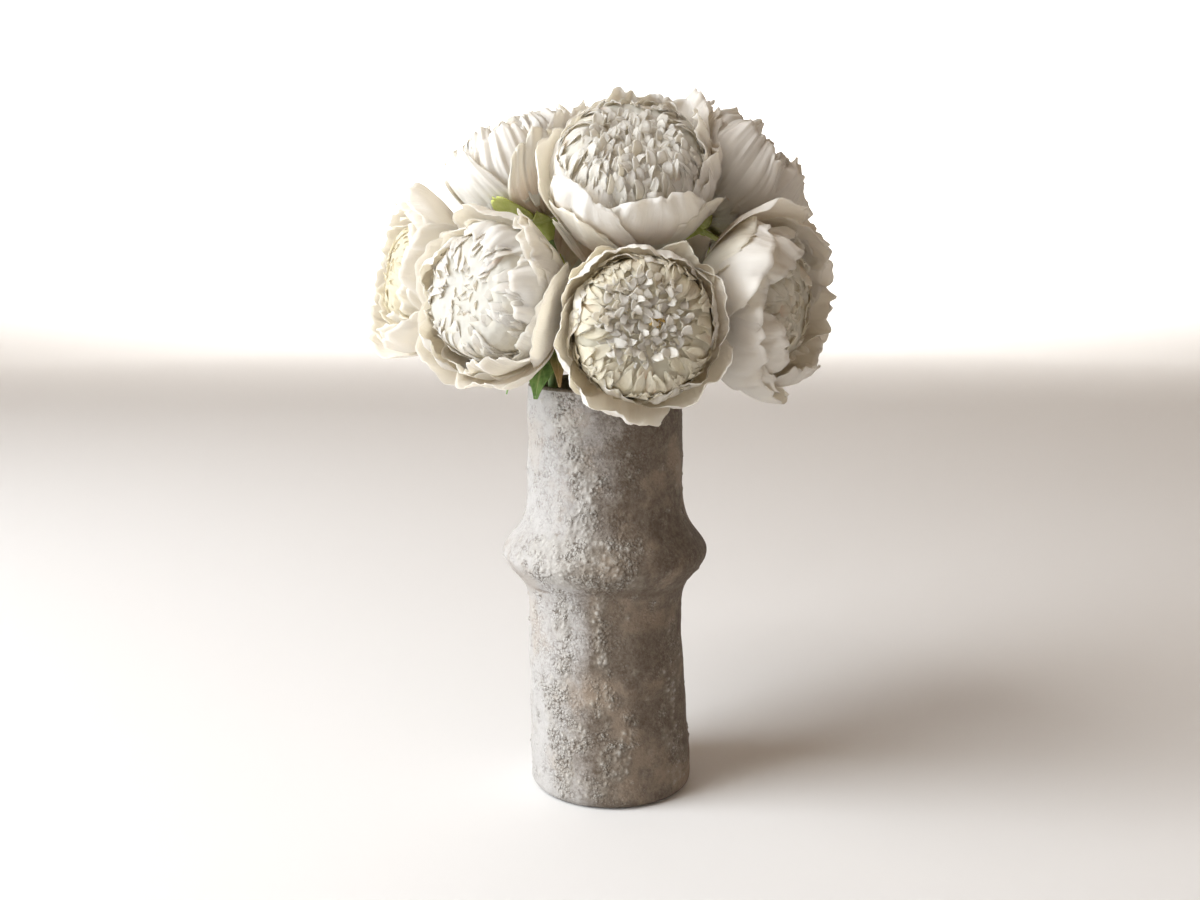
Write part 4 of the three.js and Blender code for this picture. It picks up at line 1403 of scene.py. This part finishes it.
# %% [markdown]
# ## Rough glaze
#
# Bare stoneware is a warm brown-grey. Lime slip lies over it in cloudy patches, nearly white where it is
# thick and laid thickest on the side that faces the window, so part of that paleness is painted light.
# Grit is cream at its tips, and the hollows between grains are darkened brown as painted shade. Where a
# tan patch shows, the slip has worn through. The finest grain is too small for geometry and is a bump,
# with pale crumbs and painted shadow at the edges of its cells.
# %% Glaze
GLAZE_COLOURS = dict(
    dark_clay=(0.105, 0.078, 0.056),
    clay=(0.20, 0.162, 0.125),
    rusty=(0.33, 0.245, 0.175),
    slip=(0.47, 0.45, 0.43),
    tan=(0.36, 0.285, 0.215),
    grit=(0.36, 0.325, 0.27),
    tip=(0.60, 0.575, 0.53),
    # painted shade for the hollows between grains
    hollow_shade=(0.15, 0.112, 0.08),
    crumb=(0.56, 0.535, 0.49),
    # painted shadow for the edges of the small cells
    pit_shadow=(0.10, 0.075, 0.055),
)
GLAZE_BUMP = 1.1


def stoneware_material():
    tint = {name: colour(*rgb) for name, rgb in GLAZE_COLOURS.items()}
    surface = Surface("rough stoneware")
    grit, lime_and_light, high = surface.notes()[:3]
    spot = surface.spot()
    cloud = surface.noise(spot, 26.0, 5.0, 0.6)
    mottle = surface.noise(spot, 170.0, 5.0, 0.7)
    speck = surface.noise(spot, 560.0, 4.0, 0.7)
    grain = surface.noise(spot, 1300.0, 3.0, 0.6)
    mixed = mottle * 0.55 + speck * 0.45
    # The slip is palest where the lime mask is high, which is partly painted light on the side that faces
    # the window.
    slip = lime_and_light * 0.95 + speck * 0.5 + mottle * 0.5 - 0.8
    tips = (high + speck * 0.5).between(0.85, 1.35)
    # Painted shade: the low points of the crust between grains are darkened.
    shaded_hollows = 1 - (high + speck * 0.4).between(0.50, 0.70)
    cells = {"Vector": spot, "Scale": 520.0, "Randomness": 1.0}
    far = surface.node("ShaderNodeTexVoronoi", None, cells, output=0)
    where = surface.noise(spot, 75.0, 4.0, 0.65).between(0.44, 0.6)
    rough = where * (grit * 0.7 + lime_and_light * 0.25 + 0.25)
    crumb = 1 - far.between(0.10, 0.48)
    # Painted shadow: the edges of the small cells are darkened as pits.
    shaded_pits = far.between(0.52, 0.82)

    # The dark coat in the hollows is painted shade, and the dark coat at the cell edges is painted shadow
    # in the pits.
    coats = [
        ("rusty", cloud.between(0.52, 0.66) * 0.3),
        ("slip", slip.between(0.0, 0.75) * 0.9),
        ("tan", cloud.between(0.5, 0.64) * 0.28),
        ("grit", grit.between(0.2, 0.9) * 0.25),
        ("tip", tips * 0.5),
        ("hollow_shade", shaded_hollows * 0.6),
        ("crumb", crumb * rough * 0.55),
        ("pit_shadow", shaded_pits * rough * 0.7),
    ]
    glaze = surface.blend(mixed.between(0.36, 0.64), tint["dark_clay"], tint["clay"])
    for name, cover in coats:
        glaze = surface.blend(cover, glaze, tint[name])
    height = speck * 0.4 + grain * 0.2 + crumb * rough - shaded_pits * rough * 0.6
    more = {"Normal": surface.bump(height, 0.9, GLAZE_BUMP), "Specular IOR Level": 0.3}
    return surface.finish(surface.body(glaze, speck * 0.2 + 0.72, more))


STONEWARE = stoneware_material()
vase = build_vase()
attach(vase, "root")
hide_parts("vase")
print("faces of the vase:", len(vase.data.polygons))

# %% [markdown]
# ## Floor and backdrop
#
# A pale floor that curves up into a pale wall all round has no visible corner, so the background stays
# plain from every side. It is a round bowl, wide enough for the camera to walk round inside it.
# %% Studio
BOWL = np.array([(0.001, 0), (1.5, 0), (3.2, 0), (3.8, 0.08), (4.4, 0.36), (4.8, 0.8), (5.0, 1.5),
                 (5.0, 2.6), (5.0, 4.2)])
BOWL_SIDES = 96
PAPER = (0.80, 0.79, 0.775)
PAPER_ROUGHNESS = 0.95


def build_studio():
    around = circle(BOWL_SIDES)[None, :]
    radius, height = BOWL[:, :1], BOWL[:, 1:]
    rings = together(radius * np.cos(around), radius * np.sin(around), height)
    index = np.arange(rings.shape[0] * BOWL_SIDES).reshape(-1, BOWL_SIDES)
    following = np.roll(index, -1, axis=1)
    faces = np.stack([index[:-1], index[1:], following[1:], following[:-1]], -1).reshape(-1, 4)
    mesh = bpy.data.meshes.new("studio")
    mesh.from_pydata(rings.reshape(-1, 3), [], faces)
    mesh.polygons.foreach_set("use_smooth", np.ones(len(mesh.polygons), bool))
    surface = Surface("pale paper")
    paper = surface.body(colour(*PAPER), PAPER_ROUGHNESS, {"Specular IOR Level": 0.2})
    mesh.materials.append(surface.finish(paper))
    studio = bpy.data.objects.new("studio", mesh)
    bpy.context.scene.collection.objects.link(studio)
    studio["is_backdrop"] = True


build_studio()
print("studio is", 2 * BOWL[-1][0], "m across")

# %% [markdown]
# ## Light
#
# A large soft light stands to the left and a little in front, like a window. A smaller one high up on the
# same side opens the tops of the blooms. The sky over the bowl gives a weak warm fill, so the right side
# falls into warm shade. The third light only brightens the wall behind.
# %% Lights
from mathutils import Vector

SKY_TINT = colour(1.0, 0.56, 0.21)
SKY_STRENGTH = 0.19
LIGHTS = table(
    "name at aim size power tint",
    ("window", (-2200, -740, 850), (0, 0, 300), (1800, 2300), 104, (0.86, 0.93, 1.0)),
    ("roof window", (-1450, -700, 2250), (0, 0, 330), (1500, 1200), 42, (0.97, 0.97, 0.97)),
    ("wall wash", (0, 3600, 1600), (0, 4900, 200), (5200, 200), 95, (1.0, 0.99, 0.97)),
)


def area_light(name, at, aim, size, power, tint):
    data = bpy.data.lights.new(name, "AREA")
    data.shape = "RECTANGLE"
    data.size = size[0] * MM
    data.size_y = size[1] * MM
    data.energy = power
    data.color = tint
    light = bpy.data.objects.new(name, data)
    light.location = [MM * x for x in at]
    direction = Vector([b - a for a, b in zip(at, aim)])
    light.rotation_euler = direction.to_track_quat("-Z", "Y").to_euler()
    bpy.context.scene.collection.objects.link(light)


for light in LIGHTS:
    area_light(**light)

world = bpy.data.worlds.new("studio sky")
bpy.context.scene.world = world
world.use_nodes = True
background = world.node_tree.nodes["Background"]
background.inputs["Color"].default_value = SKY_TINT
background.inputs["Strength"].default_value = SKY_STRENGTH
bpy.context.scene.view_settings.view_transform = "Standard"

# %% [markdown]
# ## Print both sizes and finish
#
# The fine pieces have to keep the size of the solids. Both boxes are printed, so they can be compared.
# %% Finish
visual_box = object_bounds()
sizes = {"cad": [list(corner) for corner in cad_box], "visual": [list(corner) for corner in visual_box]}
print("boxes in mm:", [[round(1000 * x) for x in corner] for box in sizes.values() for corner in box])
